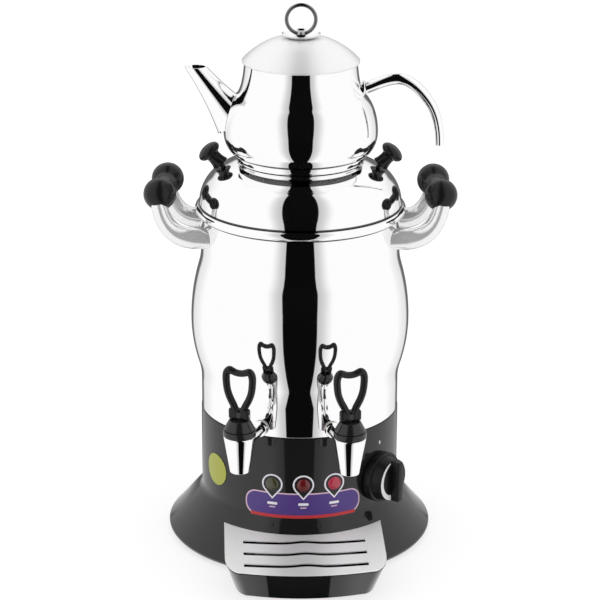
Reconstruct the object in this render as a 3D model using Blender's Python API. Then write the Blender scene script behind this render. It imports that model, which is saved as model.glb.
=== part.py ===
"""Electric tea samovar with two lever taps, a drip tray and a teapot on its lid.

Metres, +Z up. The origin is on the table, under the middle of the bounding box.
The front, where the taps are, faces -Y.
"""
import math

import bmesh
import bpy
from mathutils import Vector

MM = 0.001

# Shared clearances and smoothness
CLEAR = 0.3 * MM
LOOSE = 0.5 * MM
OVERRUN = 3 * MM
WELD = 0.001 * MM
WIDE_SIDES = 32
POT_SIDES = 24
ROUND_SIDES = 16
SMALL_SIDES = 12
SMOOTH_ANGLE = math.radians(35)

# Base housing: a black moulding, a column on a sloping skirt
COLUMN_R = 109.5 * MM
COLUMN_TOP = 147.9 * MM
SKIRT_TOP = 54.5 * MM
SKIRT_START_R = 111.1 * MM
SKIRT_START_Z = 51.5 * MM
BRIM_R = 147.4 * MM
BRIM_Z = 9 * MM
BRIM_FOOT_R = 145.6 * MM
BASE_BOTTOM = 4.5 * MM
BASE_WALL = 3 * MM
SHELF_DEPTH = 12 * MM
SHELF_THICK = 3 * MM
COVER_RABBET = 2.6 * MM
FRONT_TURN = math.radians(2.4)

# Boiler: one deep-drawn steel vessel with a rolled rim
BOILER_WALL = 1.2 * MM
NECK_R = 108.4 * MM
BELLY_R = 119.8 * MM
BELLY_Z = 251 * MM
BELLY_TOP = 321 * MM
BELLY_BOTTOM = 193 * MM
LOWER_R = 108.9 * MM
BOILER_FOOT_R = 105.3 * MM
BOILER_BOTTOM = 135.5 * MM
BOILER_CORNER = 7 * MM
BOILER_STEP_Z = COLUMN_TOP + CLEAR
RIM_R = 114.5 * MM
RIM_TOP = 381 * MM
RIM_BEAD = 5 * MM

# Samovar lid: a steel dome with a steep shoulder
LID_WALL = 1.2 * MM
LID_FLANGE_R = 109.8 * MM
LID_SEAT = RIM_TOP + CLEAR
LID_SHOULDER = 42 * MM
LID_SHOULDER_TURN = math.radians(67)
LID_SKIRT_R = 105.6 * MM
LID_SKIRT_DEPTH = 8 * MM
LID_TOP_R = 67 * MM
LID_TOP_Z = 429.5 * MM
LID_STEAM_R = 48 * MM

# Collar on the lid, the seat of the teapot
COLLAR_R = 70.5 * MM
COLLAR_WALL = 1.5 * MM
COLLAR_TOP = 437.6 * MM
COLLAR_LIP = 2 * MM

# Teapot
POT_WALL = 1.2 * MM
POT_FOOT_Z = COLLAR_TOP + CLEAR
POT_CORE_R = 59 * MM
POT_BELLY_R = 83 * MM
POT_BELLY_Z = 461 * MM
POT_LOWER_REACH = 28 * MM
POT_UPPER_REACH = 44 * MM
POT_SHOULDER_Z = 500 * MM
POT_NECK_R = 60.6 * MM
POT_TOP = 536.4 * MM
POT_LID_R = 63 * MM
POT_LID_SEAT = POT_TOP + CLEAR
POT_LID_EDGE = 2.2 * MM
POT_LID_TOP = 563 * MM
POT_LID_FLAT_R = 24 * MM
POT_LID_WALL = 1.2 * MM

# Ring knob of the teapot lid
RING_R = 15.5 * MM
RING_WIRE = 2 * MM
RING_TOP = 600 * MM

# Side handles: two bent tubes a side, joined by a black grip
ARM_ROOT_R = 11.5 * MM
ARM_END_R = 7.5 * MM
ARM_Y = 38 * MM
ARM_ROOT_Z = 351.5 * MM
ARM_BEND_X = 115 * MM
ARM_PULL = (143 * MM, 353 * MM)
ARM_END_X = 149 * MM
ARM_END_Z = 391 * MM
GRIP_BALL_R = 18 * MM
GRIP_BALL_Y = 30 * MM
GRIP_X = 148 * MM
GRIP_TOE = 2.6 * MM
GRIP_Z = 398.5 * MM
GRIP_WAIST_R = 10 * MM

# Taps: steel bodies under a black ring and bonnet, on a shank through the boiler wall
TAP_REACH = 166 * MM
TAP_PAIR_TURN = math.radians(-1.8)
TAP_SPREAD = math.radians(20.5)
SHANK_Z = 157.5 * MM
SHANK_R = 6.2 * MM
SHANK_BORE = 3.8 * MM
SHANK_END = 72 * MM
TAP_R = 17.5 * MM
TAP_RING_LOW = 171.5 * MM
TAP_TOP = 178 * MM
TAP_CHAMBER_R = 10.5 * MM
TAP_SEAT_Z = 150 * MM
TAP_NECK_R = 13.6 * MM
TAP_CONE_R = 17 * MM
TAP_NOZZLE_BORE = 5.5 * MM
TAP_TIP_R = 10.4 * MM
TAP_TIP_Z = 130 * MM
TAP_TIP_EDGE = 1.2 * MM
BONNET_TOP = 189 * MM
BONNET_TOP_R = 11.5 * MM
LEVER_PIN_Z = 194.5 * MM
LEVER_TOP = 247.5 * MM
LEVER_HALF_WIDTH = 19 * MM
LEVER_DEPTH = 8 * MM
LEVER_BLOCK_TOP = 201 * MM
WASHER_R = 8.5 * MM
WASHER_THICK = 1.5 * MM

# Thermostat knob on the right of the column
KNOB_TURN = math.radians(49.6)
KNOB_Z = 88 * MM
KNOB_R = 28 * MM
KNOB_FACE_R = 23 * MM
KNOB_SKIRT = 9 * MM
KNOB_DEPTH = 21 * MM
KNOB_GRIP_REACH = 31 * MM
KNOB_GRIP_THICK = 9 * MM

# Control label and lamps on the front of the column
LABEL_SPAN = math.radians(68.8)
LABEL_LOW = 55 * MM
LABEL_HIGH = 84.5 * MM
LABEL_THICK = 0.6 * MM
LAMP_Z = 94.5 * MM
LAMP_PITCH = math.radians(17.8)
LAMP_R = 6.5 * MM

# Drip tray in front of the base
TRAY_TOP = 38 * MM
TRAY_REACH = 219 * MM
TRAY_HALF_WIDTH = 86 * MM
TRAY_BACK = 82 * MM
TRAY_CORNER = 26 * MM
TRAY_BOW = 9 * MM
TRAY_TAPER = 10 * MM
TRAY_FRONT_TAPER = 25 * MM
TRAY_WALL = 2.5 * MM
TRAY_GAP = 0.6 * MM
GRILLE_THICK = 2 * MM
SLOT_LENGTH = 130 * MM
SLOT_WIDTH = 5.5 * MM
SLOT_PITCH = 28.5 * MM
SLOT_COUNT = 3

# The column's axis lies behind the origin, because the tray sticks out in front
AXIS_Y = (TRAY_REACH - BRIM_R) / 2


def clear_scene():
    for item in list(bpy.data.objects):
        bpy.data.objects.remove(item, do_unlink=True)


def finish(name, colour, metallic, roughness):
    made = bpy.data.materials.new(name)
    made.use_nodes = True
    shader = made.node_tree.nodes["Principled BSDF"]
    shader.inputs["Base Color"].default_value = (*colour, 1)
    shader.inputs["Metallic"].default_value = metallic
    shader.inputs["Roughness"].default_value = roughness
    return made


def frame(name, parent=None, place=(0, 0, 0), turn=0.0):
    empty = bpy.data.objects.new(name, None)
    bpy.context.collection.objects.link(empty)
    empty.location = place
    empty.rotation_euler = (0, 0, turn)
    empty.parent = parent
    return empty


def add(name, mesh, material, parent, place=(0, 0, 0), rotation=(0, 0, 0)):
    item = bpy.data.objects.new(name, mesh)
    bpy.context.collection.objects.link(item)
    item.parent = parent
    item.location = place
    item.rotation_euler = rotation
    if material:
        mesh.materials.append(material)
    return item


def to_mesh(name, form):
    bmesh.ops.remove_doubles(form, verts=form.verts, dist=WELD)
    bmesh.ops.recalc_face_normals(form, faces=form.faces)
    mesh = bpy.data.meshes.new(name)
    form.to_mesh(mesh)
    form.free()
    mesh.shade_smooth()
    mesh.set_sharp_from_angle(angle=SMOOTH_ANGLE)
    return mesh


def turned_mesh(name, outline, sides):
    """Spin an outline of (radius, height) points; one that meets the axis at both ends stays open."""
    form = bmesh.new()
    points = [form.verts.new((radius, 0, height)) for radius, height in outline]
    edges = [form.edges.new(pair) for pair in zip(points[:-1], points[1:])]
    if outline[0][0] > 0 or outline[-1][0] > 0:
        edges.append(form.edges.new((points[-1], points[0])))
    bmesh.ops.spin(
        form,
        geom=points + edges,
        cent=(0, 0, 0),
        axis=(0, 0, 1),
        angle=math.tau,
        steps=sides,
        use_merge=True,
        use_duplicate=False,
    )
    return to_mesh(name, form)


def turned(name, outline, material, parent, sides=ROUND_SIDES, place=(0, 0, 0), rotation=(0, 0, 0)):
    return add(name, turned_mesh(name, outline, sides), material, parent, place, rotation)


def layered_mesh(name, layers):
    """Join closed outlines of as many points, lowest first, and close both ends."""
    form = bmesh.new()
    rings = [[form.verts.new(point) for point in layer] for layer in layers]
    count = len(rings[0])
    for low, high in zip(rings[:-1], rings[1:]):
        for i in range(count):
            j = (i + 1) % count
            form.faces.new((low[i], low[j], high[j], high[i]))
    form.faces.new(rings[0][::-1])
    form.faces.new(rings[-1])
    return to_mesh(name, form)


def box_mesh(name, low, high):
    """A block from its lowest to its highest corner."""
    (x0, y0, z0), (x1, y1, z1) = low, high
    corners = [(x0, y0), (x1, y0), (x1, y1), (x0, y1)]
    return layered_mesh(name, [[(x, y, z) for x, y in corners] for z in (z0, z1)])


def tube_mesh(name, points, radius, sides=SMALL_SIDES, radii=None, closed=False):
    """A round tube along the points, from a curve with a bevel."""
    curve = bpy.data.curves.new(name, "CURVE")
    curve.dimensions = "3D"
    curve.bevel_depth = radius
    curve.bevel_resolution = (sides - 4) // 2
    curve.use_fill_caps = not closed
    spline = curve.splines.new("POLY")
    spline.points.add(len(points) - 1)
    for number, (point, place) in enumerate(zip(spline.points, points)):
        point.co = (*place, 1)
        if radii:
            point.radius = radii[number] / radius
    spline.use_cyclic_u = closed
    holder = bpy.data.objects.new(name + "_curve", curve)
    bpy.context.collection.objects.link(holder)
    mesh = bpy.data.meshes.new_from_object(holder.evaluated_get(bpy.context.evaluated_depsgraph_get()))
    bpy.data.objects.remove(holder, do_unlink=True)
    form = bmesh.new()
    form.from_mesh(mesh)
    bpy.data.meshes.remove(mesh)
    return to_mesh(name, form)


def as_cutter(item):
    item.hide_render = True
    item.display_type = "WIRE"
    return item


def boolean(item, other, operation):
    step = item.modifiers.new(other.name, "BOOLEAN")
    step.operation = operation
    step.object = as_cutter(other)
    step.solver = "EXACT"


def cut(item, *cutters):
    for cutter in cutters:
        boolean(item, cutter, "DIFFERENCE")


def fuse(item, *others):
    for other in others:
        boolean(item, other, "UNION")


def arc(centre, across, along, start, stop, steps):
    """Points on an elliptic arc, from the start angle to the stop angle."""
    points = []
    for i in range(steps + 1):
        angle = start + (stop - start) * i / steps
        points.append((centre[0] + across * math.cos(angle), centre[1] + along * math.sin(angle)))
    return points


def swoop(first, pull, last, steps):
    """Points on a parabola from the first point to the last, drawn toward the pull point."""
    points = []
    for i in range(steps + 1):
        t = i / steps
        points.append(tuple(
            (1 - t) ** 2 * a + 2 * t * (1 - t) * b + t * t * c for a, b, c in zip(first, pull, last)
        ))
    return points


def bulge(radius, peak, start, stop, edge, steps):
    """A shallow arc of an upright wall: radius at the peak height, and edge radius at start or stop."""
    reach = max(abs(start - peak), abs(stop - peak))
    rise = radius - edge
    bend = (reach ** 2 + rise ** 2) / (2 * rise)
    points = []
    for i in range(steps + 1):
        height = start + (stop - start) * i / steps
        points.append((radius - bend + math.sqrt(bend ** 2 - (height - peak) ** 2), height))
    return points


def circle(radius, count, centre=(0, 0)):
    return [
        (centre[0] + radius * math.cos(math.tau * i / count), centre[1] + radius * math.sin(math.tau * i / count))
        for i in range(count)
    ]


def outward(turn, radius, height):
    """A place at a radius from the column's axis, turned from the front toward +X."""
    return (radius * math.sin(turn), -radius * math.cos(turn), height)


def rod(name, radius, length, parent, place, rotation, sides=SMALL_SIDES, material=None):
    """A round bar from the place along the rotated +Z."""
    outline = [(0, 0), (radius, 0), (radius, length), (0, length)]
    return turned(name, outline, material, parent, sides, place, rotation)


def hex_nut(name, bore, corner_r, thick, parent, place, rotation=(0, 0, 0), material=None):
    """A nut from the place along the rotated +Z; its six-sided bore clears a round bar."""
    inner = (bore + CLEAR) / math.cos(math.pi / 6)
    outline = [(inner, 0), (corner_r, 0), (corner_r, thick), (inner, thick)]
    return turned(name, outline, material, parent, 6, place, rotation)


# Rotations that lay a bar's +Z along -Y, outward, and along +Y, inward
OUT = (math.pi / 2, 0, 0)
IN = (-math.pi / 2, 0, 0)
ALONG_X = (0, math.pi / 2, 0)

clear_scene()
STEEL = finish("polished_steel", (0.86, 0.86, 0.87), 1.0, 0.06)
SATIN = finish("satin_steel", (0.74, 0.74, 0.75), 1.0, 0.3)
BLACK = finish("black_moulding", (0.012, 0.012, 0.013), 0.0, 0.2)
BAKELITE = finish("black_bakelite", (0.016, 0.015, 0.015), 0.0, 0.25)
RUBBER = finish("black_rubber", (0.03, 0.03, 0.03), 0.0, 0.8)
SILICONE = finish("pale_silicone", (0.75, 0.73, 0.68), 0.0, 0.6)
BRASS = finish("brass", (0.72, 0.55, 0.25), 1.0, 0.3)
CERAMIC = finish("white_ceramic", (0.8, 0.79, 0.75), 0.0, 0.5)
PURPLE = finish("purple_print", (0.09, 0.04, 0.25), 0.0, 0.3)
OLIVE = finish("plain_olive_print", (0.4, 0.42, 0.05), 0.0, 0.35)
LAMP_OFF = finish("dark_olive_lens", (0.05, 0.045, 0.02), 0.0, 0.15)
LAMP_DULL = finish("dark_red_lens", (0.12, 0.01, 0.01), 0.0, 0.15)
LAMP_ON = finish("bright_red_lens", (0.6, 0.03, 0.05), 0.0, 0.15)

AXIS = frame("column_axis", place=(0, AXIS_Y, 0))
FRONT = frame("base_front", AXIS, turn=FRONT_TURN)


# Base housing
def skirt_outline(grow):
    """The outer face of the base from its top edge to its brim, moved out by grow."""
    points = [(COLUMN_R + grow, COLUMN_TOP), (COLUMN_R + grow, SKIRT_TOP)]
    points += [(SKIRT_START_R + grow, SKIRT_START_Z), (BRIM_R + grow, BRIM_Z + grow)]
    return points


def skirt_inner_r(height):
    """The inner radius of the skirt's wall at a height on its slope."""
    share = (SKIRT_START_Z - height) / (SKIRT_START_Z - BRIM_Z)
    return SKIRT_START_R + (BRIM_R - SKIRT_START_R) * share - BASE_WALL * math.sqrt(2)


COVER_TOP = BASE_BOTTOM + COVER_RABBET + CLEAR
SHELF_TOP = BOILER_BOTTOM - CLEAR
TAP_TURNS = {"left": TAP_PAIR_TURN - TAP_SPREAD, "right": TAP_PAIR_TURN + TAP_SPREAD}
INLET_Z = 76 * MM
INLET_HALF = (15 * MM, 11 * MM)
INLET_FLANGE = 3.5 * MM
LAMP_BODY_R = LAMP_R - LOOSE
KNOB_SHAFT_R = 3.5 * MM
BOSS_R = 6 * MM


def make_base():
    inner_column = COLUMN_R - BASE_WALL
    shelf_r = inner_column - SHELF_DEPTH
    outline = skirt_outline(0) + [(BRIM_FOOT_R, BASE_BOTTOM)]
    rabbet_r = BRIM_FOOT_R - BASE_WALL
    outline += [(rabbet_r, BASE_BOTTOM), (rabbet_r, COVER_TOP)]
    outline += [(skirt_inner_r(COVER_TOP), COVER_TOP), (skirt_inner_r(SKIRT_START_Z), SKIRT_START_Z)]
    outline += [(inner_column, SKIRT_TOP), (inner_column, SHELF_TOP - SHELF_THICK - SHELF_DEPTH)]
    outline += [(shelf_r, SHELF_TOP - SHELF_THICK), (shelf_r, SHELF_TOP)]
    outline += [(inner_column, SHELF_TOP), (inner_column, COLUMN_TOP)]
    base = turned("base_housing", outline, BLACK, FRONT, WIDE_SIDES)
    start = COLUMN_R - BASE_WALL - OVERRUN
    length = BASE_WALL + 2 * OVERRUN
    for number in (-1, 0, 1):
        turn = number * LAMP_PITCH
        place = outward(turn, start, LAMP_Z)
        cut(base, rod("lamp_cutter_%d" % (number + 2), LAMP_BODY_R + CLEAR, length, FRONT, place,
                      (math.pi / 2, 0, turn)))
    place = outward(KNOB_TURN, start, KNOB_Z)
    cut(base, rod("shaft_cutter", BOSS_R + CLEAR, length, FRONT, place, (math.pi / 2, 0, KNOB_TURN)))
    low = (-INLET_HALF[0], inner_column - SHELF_DEPTH, INLET_Z - INLET_HALF[1])
    high = (INLET_HALF[0], COLUMN_R + OVERRUN, INLET_Z + INLET_HALF[1])
    cut(base, add("inlet_cutter", box_mesh("inlet_cutter", low, high), None, FRONT))


STUD_R = 4 * MM
STUD_HEAD_R = 14 * MM
STUD_HEAD = 3 * MM
FOOT_PLACE_R = 126 * MM
FOOT_R = 9 * MM
FOOT_HEAD_R = 4.6 * MM
FOOT_NECK_R = 3 * MM
FOOT_HEAD = 2.5 * MM
COVER_R = BRIM_FOOT_R - BASE_WALL - LOOSE
COVER_DISH = 20 * MM
COVER_DISH_R = 40 * MM
COVER_UNDER = BASE_BOTTOM + CLEAR
COVER_THICK = COVER_RABBET - CLEAR


def make_cover():
    """The bottom plate, with a raised middle that the stud draws it up by."""
    dish_top = COVER_TOP - CLEAR + COVER_DISH
    hole = STUD_R + CLEAR
    outline = [(hole, dish_top), (COVER_DISH_R, dish_top), (COVER_DISH_R + COVER_DISH, COVER_TOP - CLEAR)]
    outline += [(COVER_R, COVER_TOP - CLEAR), (COVER_R, COVER_UNDER)]
    outline += [(COVER_DISH_R + COVER_DISH, COVER_UNDER), (COVER_DISH_R, dish_top - COVER_THICK)]
    outline += [(hole, dish_top - COVER_THICK)]
    cover = turned("bottom_cover", outline, BLACK, FRONT, WIDE_SIDES)
    names = ("front_right", "rear_right", "rear_left", "front_left")
    for quarter, name in enumerate(names):
        turn = math.pi / 4 + quarter * math.pi / 2
        place = outward(turn, FOOT_PLACE_R, 0)
        cut(cover, rod("foot_cutter_" + name, FOOT_NECK_R + CLEAR, COVER_TOP + OVERRUN, FRONT, place, (0, 0, 0)))
        neck_top = COVER_TOP - CLEAR + CLEAR
        neck_low = COVER_UNDER - CLEAR
        shape = [(0, 0), (FOOT_R - LOOSE, 0), (FOOT_R, neck_low), (FOOT_NECK_R, neck_low)]
        shape += [(FOOT_NECK_R, neck_top), (FOOT_HEAD_R, neck_top), (FOOT_NECK_R, neck_top + FOOT_HEAD)]
        shape += [(0, neck_top + FOOT_HEAD)]
        turned("foot_" + name, shape, RUBBER, FRONT, SMALL_SIDES, place)
    make_stud(dish_top)


def make_stud(dish_top):
    """The clamp stud welded under the boiler, and the nut that pulls the cover up."""
    head_top = BOILER_BOTTOM - CLEAR
    nut_top = dish_top - COVER_THICK - CLEAR
    stud_low = nut_top - STUD_HEAD - OVERRUN
    outline = [(0, head_top), (STUD_HEAD_R, head_top), (STUD_HEAD_R, head_top - STUD_HEAD)]
    outline += [(STUD_R, head_top - STUD_HEAD), (STUD_R, stud_low), (0, stud_low)]
    turned("clamp_stud", outline, BRASS, AXIS, SMALL_SIDES)
    hex_nut("clamp_nut", STUD_R, 2 * STUD_R, STUD_HEAD, AXIS, (0, 0, nut_top - STUD_HEAD), material=BRASS)


def make_boiler():
    bead_x = RIM_R - RIM_BEAD
    bead_z = RIM_TOP - RIM_BEAD
    inner_neck = NECK_R - BOILER_WALL
    outline = arc((bead_x, bead_z), RIM_BEAD, RIM_BEAD, math.radians(120), math.radians(-80), 5)
    outline += [(NECK_R, bead_z - RIM_BEAD)]
    outline += bulge(BELLY_R, BELLY_Z, BELLY_TOP, BELLY_Z, NECK_R, 4)
    outline += bulge(BELLY_R, BELLY_Z, BELLY_Z, BELLY_BOTTOM, LOWER_R, 3)[1:]
    outline += [(LOWER_R, BOILER_STEP_Z), (BOILER_FOOT_R, BOILER_STEP_Z)]
    outline += [(BOILER_FOOT_R, BOILER_BOTTOM + BOILER_CORNER)]
    outline += [(BOILER_FOOT_R - BOILER_CORNER, BOILER_BOTTOM), (0, BOILER_BOTTOM)]
    floor = BOILER_BOTTOM + BOILER_WALL
    inner = [(0, floor), (BOILER_FOOT_R - BOILER_CORNER, floor)]
    inner += [(BOILER_FOOT_R - BOILER_WALL, BOILER_BOTTOM + BOILER_CORNER)]
    inner += [(BOILER_FOOT_R - BOILER_WALL, BOILER_STEP_Z + BOILER_WALL)]
    inner += [(LOWER_R - BOILER_WALL, BOILER_STEP_Z + BOILER_WALL)]
    belly = BELLY_R - BOILER_WALL
    inner += bulge(belly, BELLY_Z, BELLY_BOTTOM, BELLY_Z, LOWER_R - BOILER_WALL, 3)
    inner += bulge(belly, BELLY_Z, BELLY_Z, BELLY_TOP, inner_neck, 4)[1:]
    inner += [(inner_neck, bead_z)]
    boiler = turned("boiler_shell", outline + inner, STEEL, AXIS, WIDE_SIDES)
    start = LOWER_R - BOILER_WALL - OVERRUN
    length = BOILER_WALL + 2 * OVERRUN
    for side, turn in TAP_TURNS.items():
        place = outward(turn, start, SHANK_Z)
        cut(boiler, rod("shank_cutter_" + side, SHANK_R + CLEAR, length, AXIS, place, (math.pi / 2, 0, turn)))
    for side in (-1, 1):
        place = (side * ELEMENT_LEG_X, ELEMENT_LEG_Y, BOILER_BOTTOM - OVERRUN)
        cut(boiler, rod("leg_cutter_%d" % (side + 1), ELEMENT_R + CLEAR, BOILER_WALL + 2 * OVERRUN, AXIS, place,
                        (0, 0, 0)))
    for across in (-1, 1):
        for along in (-1, 1):
            cut(boiler, arm_stud_cutter(across, along))


ELEMENT_R = 4 * MM
ELEMENT_LOOP_R = 68 * MM
ELEMENT_Z = 162 * MM
ELEMENT_LEG_X = 24 * MM
ELEMENT_LEG_Y = 45 * MM
ELEMENT_TAIL = 14 * MM
ELEMENT_STEPS = 18


def make_element():
    """A tubular heater: two legs up through the boiler's floor, joined by one loop."""
    gap = math.atan2(ELEMENT_LEG_X, ELEMENT_LOOP_R)
    points = [(ELEMENT_LEG_X, ELEMENT_LEG_Y, BOILER_BOTTOM - ELEMENT_TAIL)]
    points += [(ELEMENT_LEG_X, ELEMENT_LEG_Y, ELEMENT_Z - ELEMENT_R)]
    points += [(ELEMENT_LEG_X, ELEMENT_LEG_Y + ELEMENT_R, ELEMENT_Z)]
    for i in range(ELEMENT_STEPS + 1):
        angle = gap + (math.tau - 2 * gap) * i / ELEMENT_STEPS
        points.append((ELEMENT_LOOP_R * math.sin(angle), ELEMENT_LOOP_R * math.cos(angle), ELEMENT_Z))
    points += [(-x, y, z) for x, y, z in points[2::-1]]
    add("heating_element", tube_mesh("heating_element", points, ELEMENT_R, 8), SATIN, AXIS)


def make_lid():
    """The dome: an upright edge, a round shoulder and a slope up to the collar."""
    turn = LID_SHOULDER_TURN
    centre = (LID_FLANGE_R - LID_SHOULDER, LID_SEAT + LID_WALL)
    shoulder = arc(centre, LID_SHOULDER, LID_SHOULDER, 0, turn, 4)
    inner_shoulder = arc(centre, LID_SHOULDER - LID_WALL, LID_SHOULDER - LID_WALL, 0, turn, 3)
    under = LID_TOP_Z - LID_WALL
    outline = [(LID_STEAM_R, LID_TOP_Z), (LID_TOP_R, LID_TOP_Z)] + shoulder[::-1]
    outline += [(LID_FLANGE_R, LID_SEAT), (LID_SKIRT_R, LID_SEAT)]
    outline += [(LID_SKIRT_R, LID_SEAT - LID_SKIRT_DEPTH)]
    outline += [(LID_SKIRT_R - LID_WALL, LID_SEAT - LID_SKIRT_DEPTH), (LID_SKIRT_R - LID_WALL, LID_SEAT + LID_WALL)]
    outline += inner_shoulder + [(LID_TOP_R, under), (LID_STEAM_R, under)]
    lid = turned("samovar_lid", outline, STEEL, AXIS, WIDE_SIDES)
    collar_under = LID_TOP_Z + CLEAR
    bore = COLLAR_R - COLLAR_WALL
    seat_r = LID_TOP_R - 2 * COLLAR_WALL - CLEAR
    ring = [(COLLAR_R, COLLAR_TOP), (COLLAR_R - COLLAR_LIP, COLLAR_TOP), (bore - COLLAR_LIP, collar_under + COLLAR_WALL)]
    ring += [(seat_r, collar_under + COLLAR_WALL), (seat_r, collar_under), (LID_TOP_R - CLEAR, collar_under)]
    turned("lid_collar", ring, STEEL, AXIS, WIDE_SIDES)
    for name, side in (("left", -1), ("right", 1)):
        make_lid_knob(lid, name, side)


KNOB_SEAT_R = 84 * MM
KNOB_SEAT_Z = 421.5 * MM
KNOB_TILT = math.radians(42)
KNOB_STEM_R = 7.5 * MM
KNOB_CAP_R = 13 * MM
KNOB_CAP_THICK = 14 * MM
KNOB_LENGTH = 29 * MM
KNOB_FLARE_R = 9.5 * MM
KNOB_SCREW_R = 2.5 * MM
KNOB_SCREW = 9 * MM
KNOB_LIFT = 3 * MM


def make_lid_knob(lid, name, side):
    """A black mushroom on a stem that leans outward, with its screw through the lid."""
    place = (side * KNOB_SEAT_R, 0, KNOB_SEAT_Z)
    rotation = (0, side * KNOB_TILT, 0)
    cap_low = KNOB_LENGTH - KNOB_CAP_THICK
    outline = [(0, -KNOB_SCREW), (KNOB_SCREW_R, -KNOB_SCREW), (KNOB_SCREW_R, KNOB_LIFT), (KNOB_FLARE_R, KNOB_LIFT)]
    outline += [(KNOB_STEM_R, KNOB_LIFT + KNOB_FLARE_R - KNOB_STEM_R), (KNOB_STEM_R, cap_low)]
    cap_centre = (0, cap_low + KNOB_CAP_THICK / 2)
    outline += arc(cap_centre, KNOB_CAP_R, KNOB_CAP_THICK / 2, math.radians(-40), math.pi / 2, 5)
    outline[-1] = (0, KNOB_LENGTH)
    turned("lid_knob_" + name, outline, BAKELITE, AXIS, ROUND_SIDES - 4, place, rotation)
    hole = rod("knob_cutter_" + name, KNOB_SCREW_R + CLEAR, 2 * KNOB_SCREW, AXIS, place, rotation)
    hole.delta_location = -KNOB_SCREW * Vector((side * math.sin(KNOB_TILT), 0, math.cos(KNOB_TILT)))
    cut(lid, hole)


ARM_STUD_R = 3 * MM
ARM_STUD = 8 * MM
ARM_STEPS = 6
ARM_SIDES = 10


def arm_route(across, along):
    """The middle line of one arm in its own upright plane, and the grip's toe at its end."""
    toe = -along * GRIP_TOE
    root = math.sqrt(NECK_R ** 2 - ARM_Y ** 2) + LOOSE
    route = [(root, ARM_ROOT_Z), (ARM_BEND_X, ARM_ROOT_Z)]
    route += swoop(route[-1], (ARM_PULL[0] + toe, ARM_PULL[1]), (ARM_END_X + toe, ARM_END_Z), ARM_STEPS)[1:]
    return [Vector((across * x, along * ARM_Y, z)) for x, z in route]


def arm_stud_cutter(across, along):
    place = arm_route(across, along)[0] - Vector((across * 2 * OVERRUN, 0, 0))
    return rod("stud_cutter_%d_%d" % (across + 1, along + 1), ARM_STUD_R + CLEAR, 4 * OVERRUN, AXIS, place,
               (0, across * math.pi / 2, 0))


def make_handles():
    for side, across in (("left", -1), ("right", 1)):
        grip = make_grip(side, across)
        for end, along in (("front", -1), ("rear", 1)):
            make_arm("handle_arm_%s_%s" % (side, end), across, along, grip)


def make_arm(name, across, along, grip):
    """A tapered steel arm with its stud through the boiler wall and its tip in the grip."""
    points = arm_route(across, along)
    count = len(points) - 1
    radii = [ARM_ROOT_R + (ARM_END_R - ARM_ROOT_R) * max(0, i - 1) / (count - 1) for i in range(count + 1)]
    out = Vector((across * ARM_ROOT_R, 0, 0))
    arm = add(name, tube_mesh(name, [points[0] - out] + points[1:], ARM_ROOT_R, ARM_SIDES, radii), STEEL, AXIS)
    wall = turned(name + "_wall", [(0, -OVERRUN), (NECK_R + CLEAR, -OVERRUN), (NECK_R + CLEAR, ARM_ROOT_R * 4),
                                   (0, ARM_ROOT_R * 4)], None, AXIS, WIDE_SIDES, (0, 0, ARM_ROOT_Z - ARM_ROOT_R * 2))
    cut(arm, wall)
    rotation = (0, across * math.pi / 2, 0)
    stud = rod(name + "_stud", ARM_STUD_R, ARM_STUD + ARM_ROOT_R, AXIS,
               points[0] - Vector((across * ARM_STUD, 0, 0)), rotation)
    fuse(arm, stud)
    above = points[-1] + Vector((0, 0, CLEAR))
    wide = [radius + CLEAR for radius in radii]
    socket = tube_mesh(name + "_socket", points[-4:-1] + [above], ARM_ROOT_R, ARM_SIDES, wide[-4:])
    cut(grip, add(name + "_socket", socket, None, AXIS))


def make_grip(side, across):
    """A black bone-shaped grip, two balls on a thinner bar, nearly along Y."""
    place = (across * GRIP_X, 0, GRIP_Z)
    meet = math.asin(GRIP_WAIST_R / GRIP_BALL_R)
    ball = arc((0, GRIP_BALL_Y), GRIP_BALL_R, GRIP_BALL_R, -math.pi / 2 + meet, math.pi / 2, 6)
    ball[-1] = (0, GRIP_BALL_Y + GRIP_BALL_R)
    other = [(radius, -height) for radius, height in ball]
    outline = other[::-1] + ball
    toe = math.atan2(GRIP_TOE, GRIP_BALL_Y)
    return turned("handle_grip_" + side, outline, BAKELITE, AXIS, 16, place, (math.pi / 2, 0, across * toe))


# Taps: each is modelled in a frame whose origin is under the spout and whose -Y points outward
SHOULDER_R = 8.5 * MM
SHOULDER_THICK = 4 * MM
SHANK_START = 12 * MM
WALL_AT_TAP = TAP_REACH - LOWER_R
NUT_R = 10.8 * MM
NUT_THICK = 5 * MM
NUT_SETBACK = 4.6 * MM
BONNET_BASE_R = 16.5 * MM
BONNET_SKIRT = 5 * MM
BONNET_WALL = 2.2 * MM
STEM_R = 2.4 * MM
STEM_FLANGE_R = 7 * MM
STEM_FLANGE = 1.5 * MM
CUP_R = 8.5 * MM
CUP_THICK = 3 * MM
SPRING_R = 5.6 * MM
SPRING_WIRE = 0.7 * MM
SPRING_TURNS = 5
SPRING_STEPS = 7
EYE_HALF_DEPTH = 3.5 * MM
EYE_TOP = LEVER_PIN_Z + EYE_HALF_DEPTH
PIN_R = 1.6 * MM
BLOCK_HALF_WIDTH = 11.5 * MM
# Edges of the lever from its block up its right side: shares of its half width and of its height
LEVER_EDGE_SHARES = ((0.86, 0.26), (1, 0.56), (0.95, 0.84), (0.74, 1), (0.5, 0.96), (0, 0.88))
LEVER_HOLE_SHARES = ((0, 0.06), (0.14, 0.09), (0.31, 0.17), (0.54, 0.36), (0.63, 0.56), (0.6, 0.7),
                     (0.49, 0.78), (0.28, 0.75), (0, 0.725))


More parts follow.
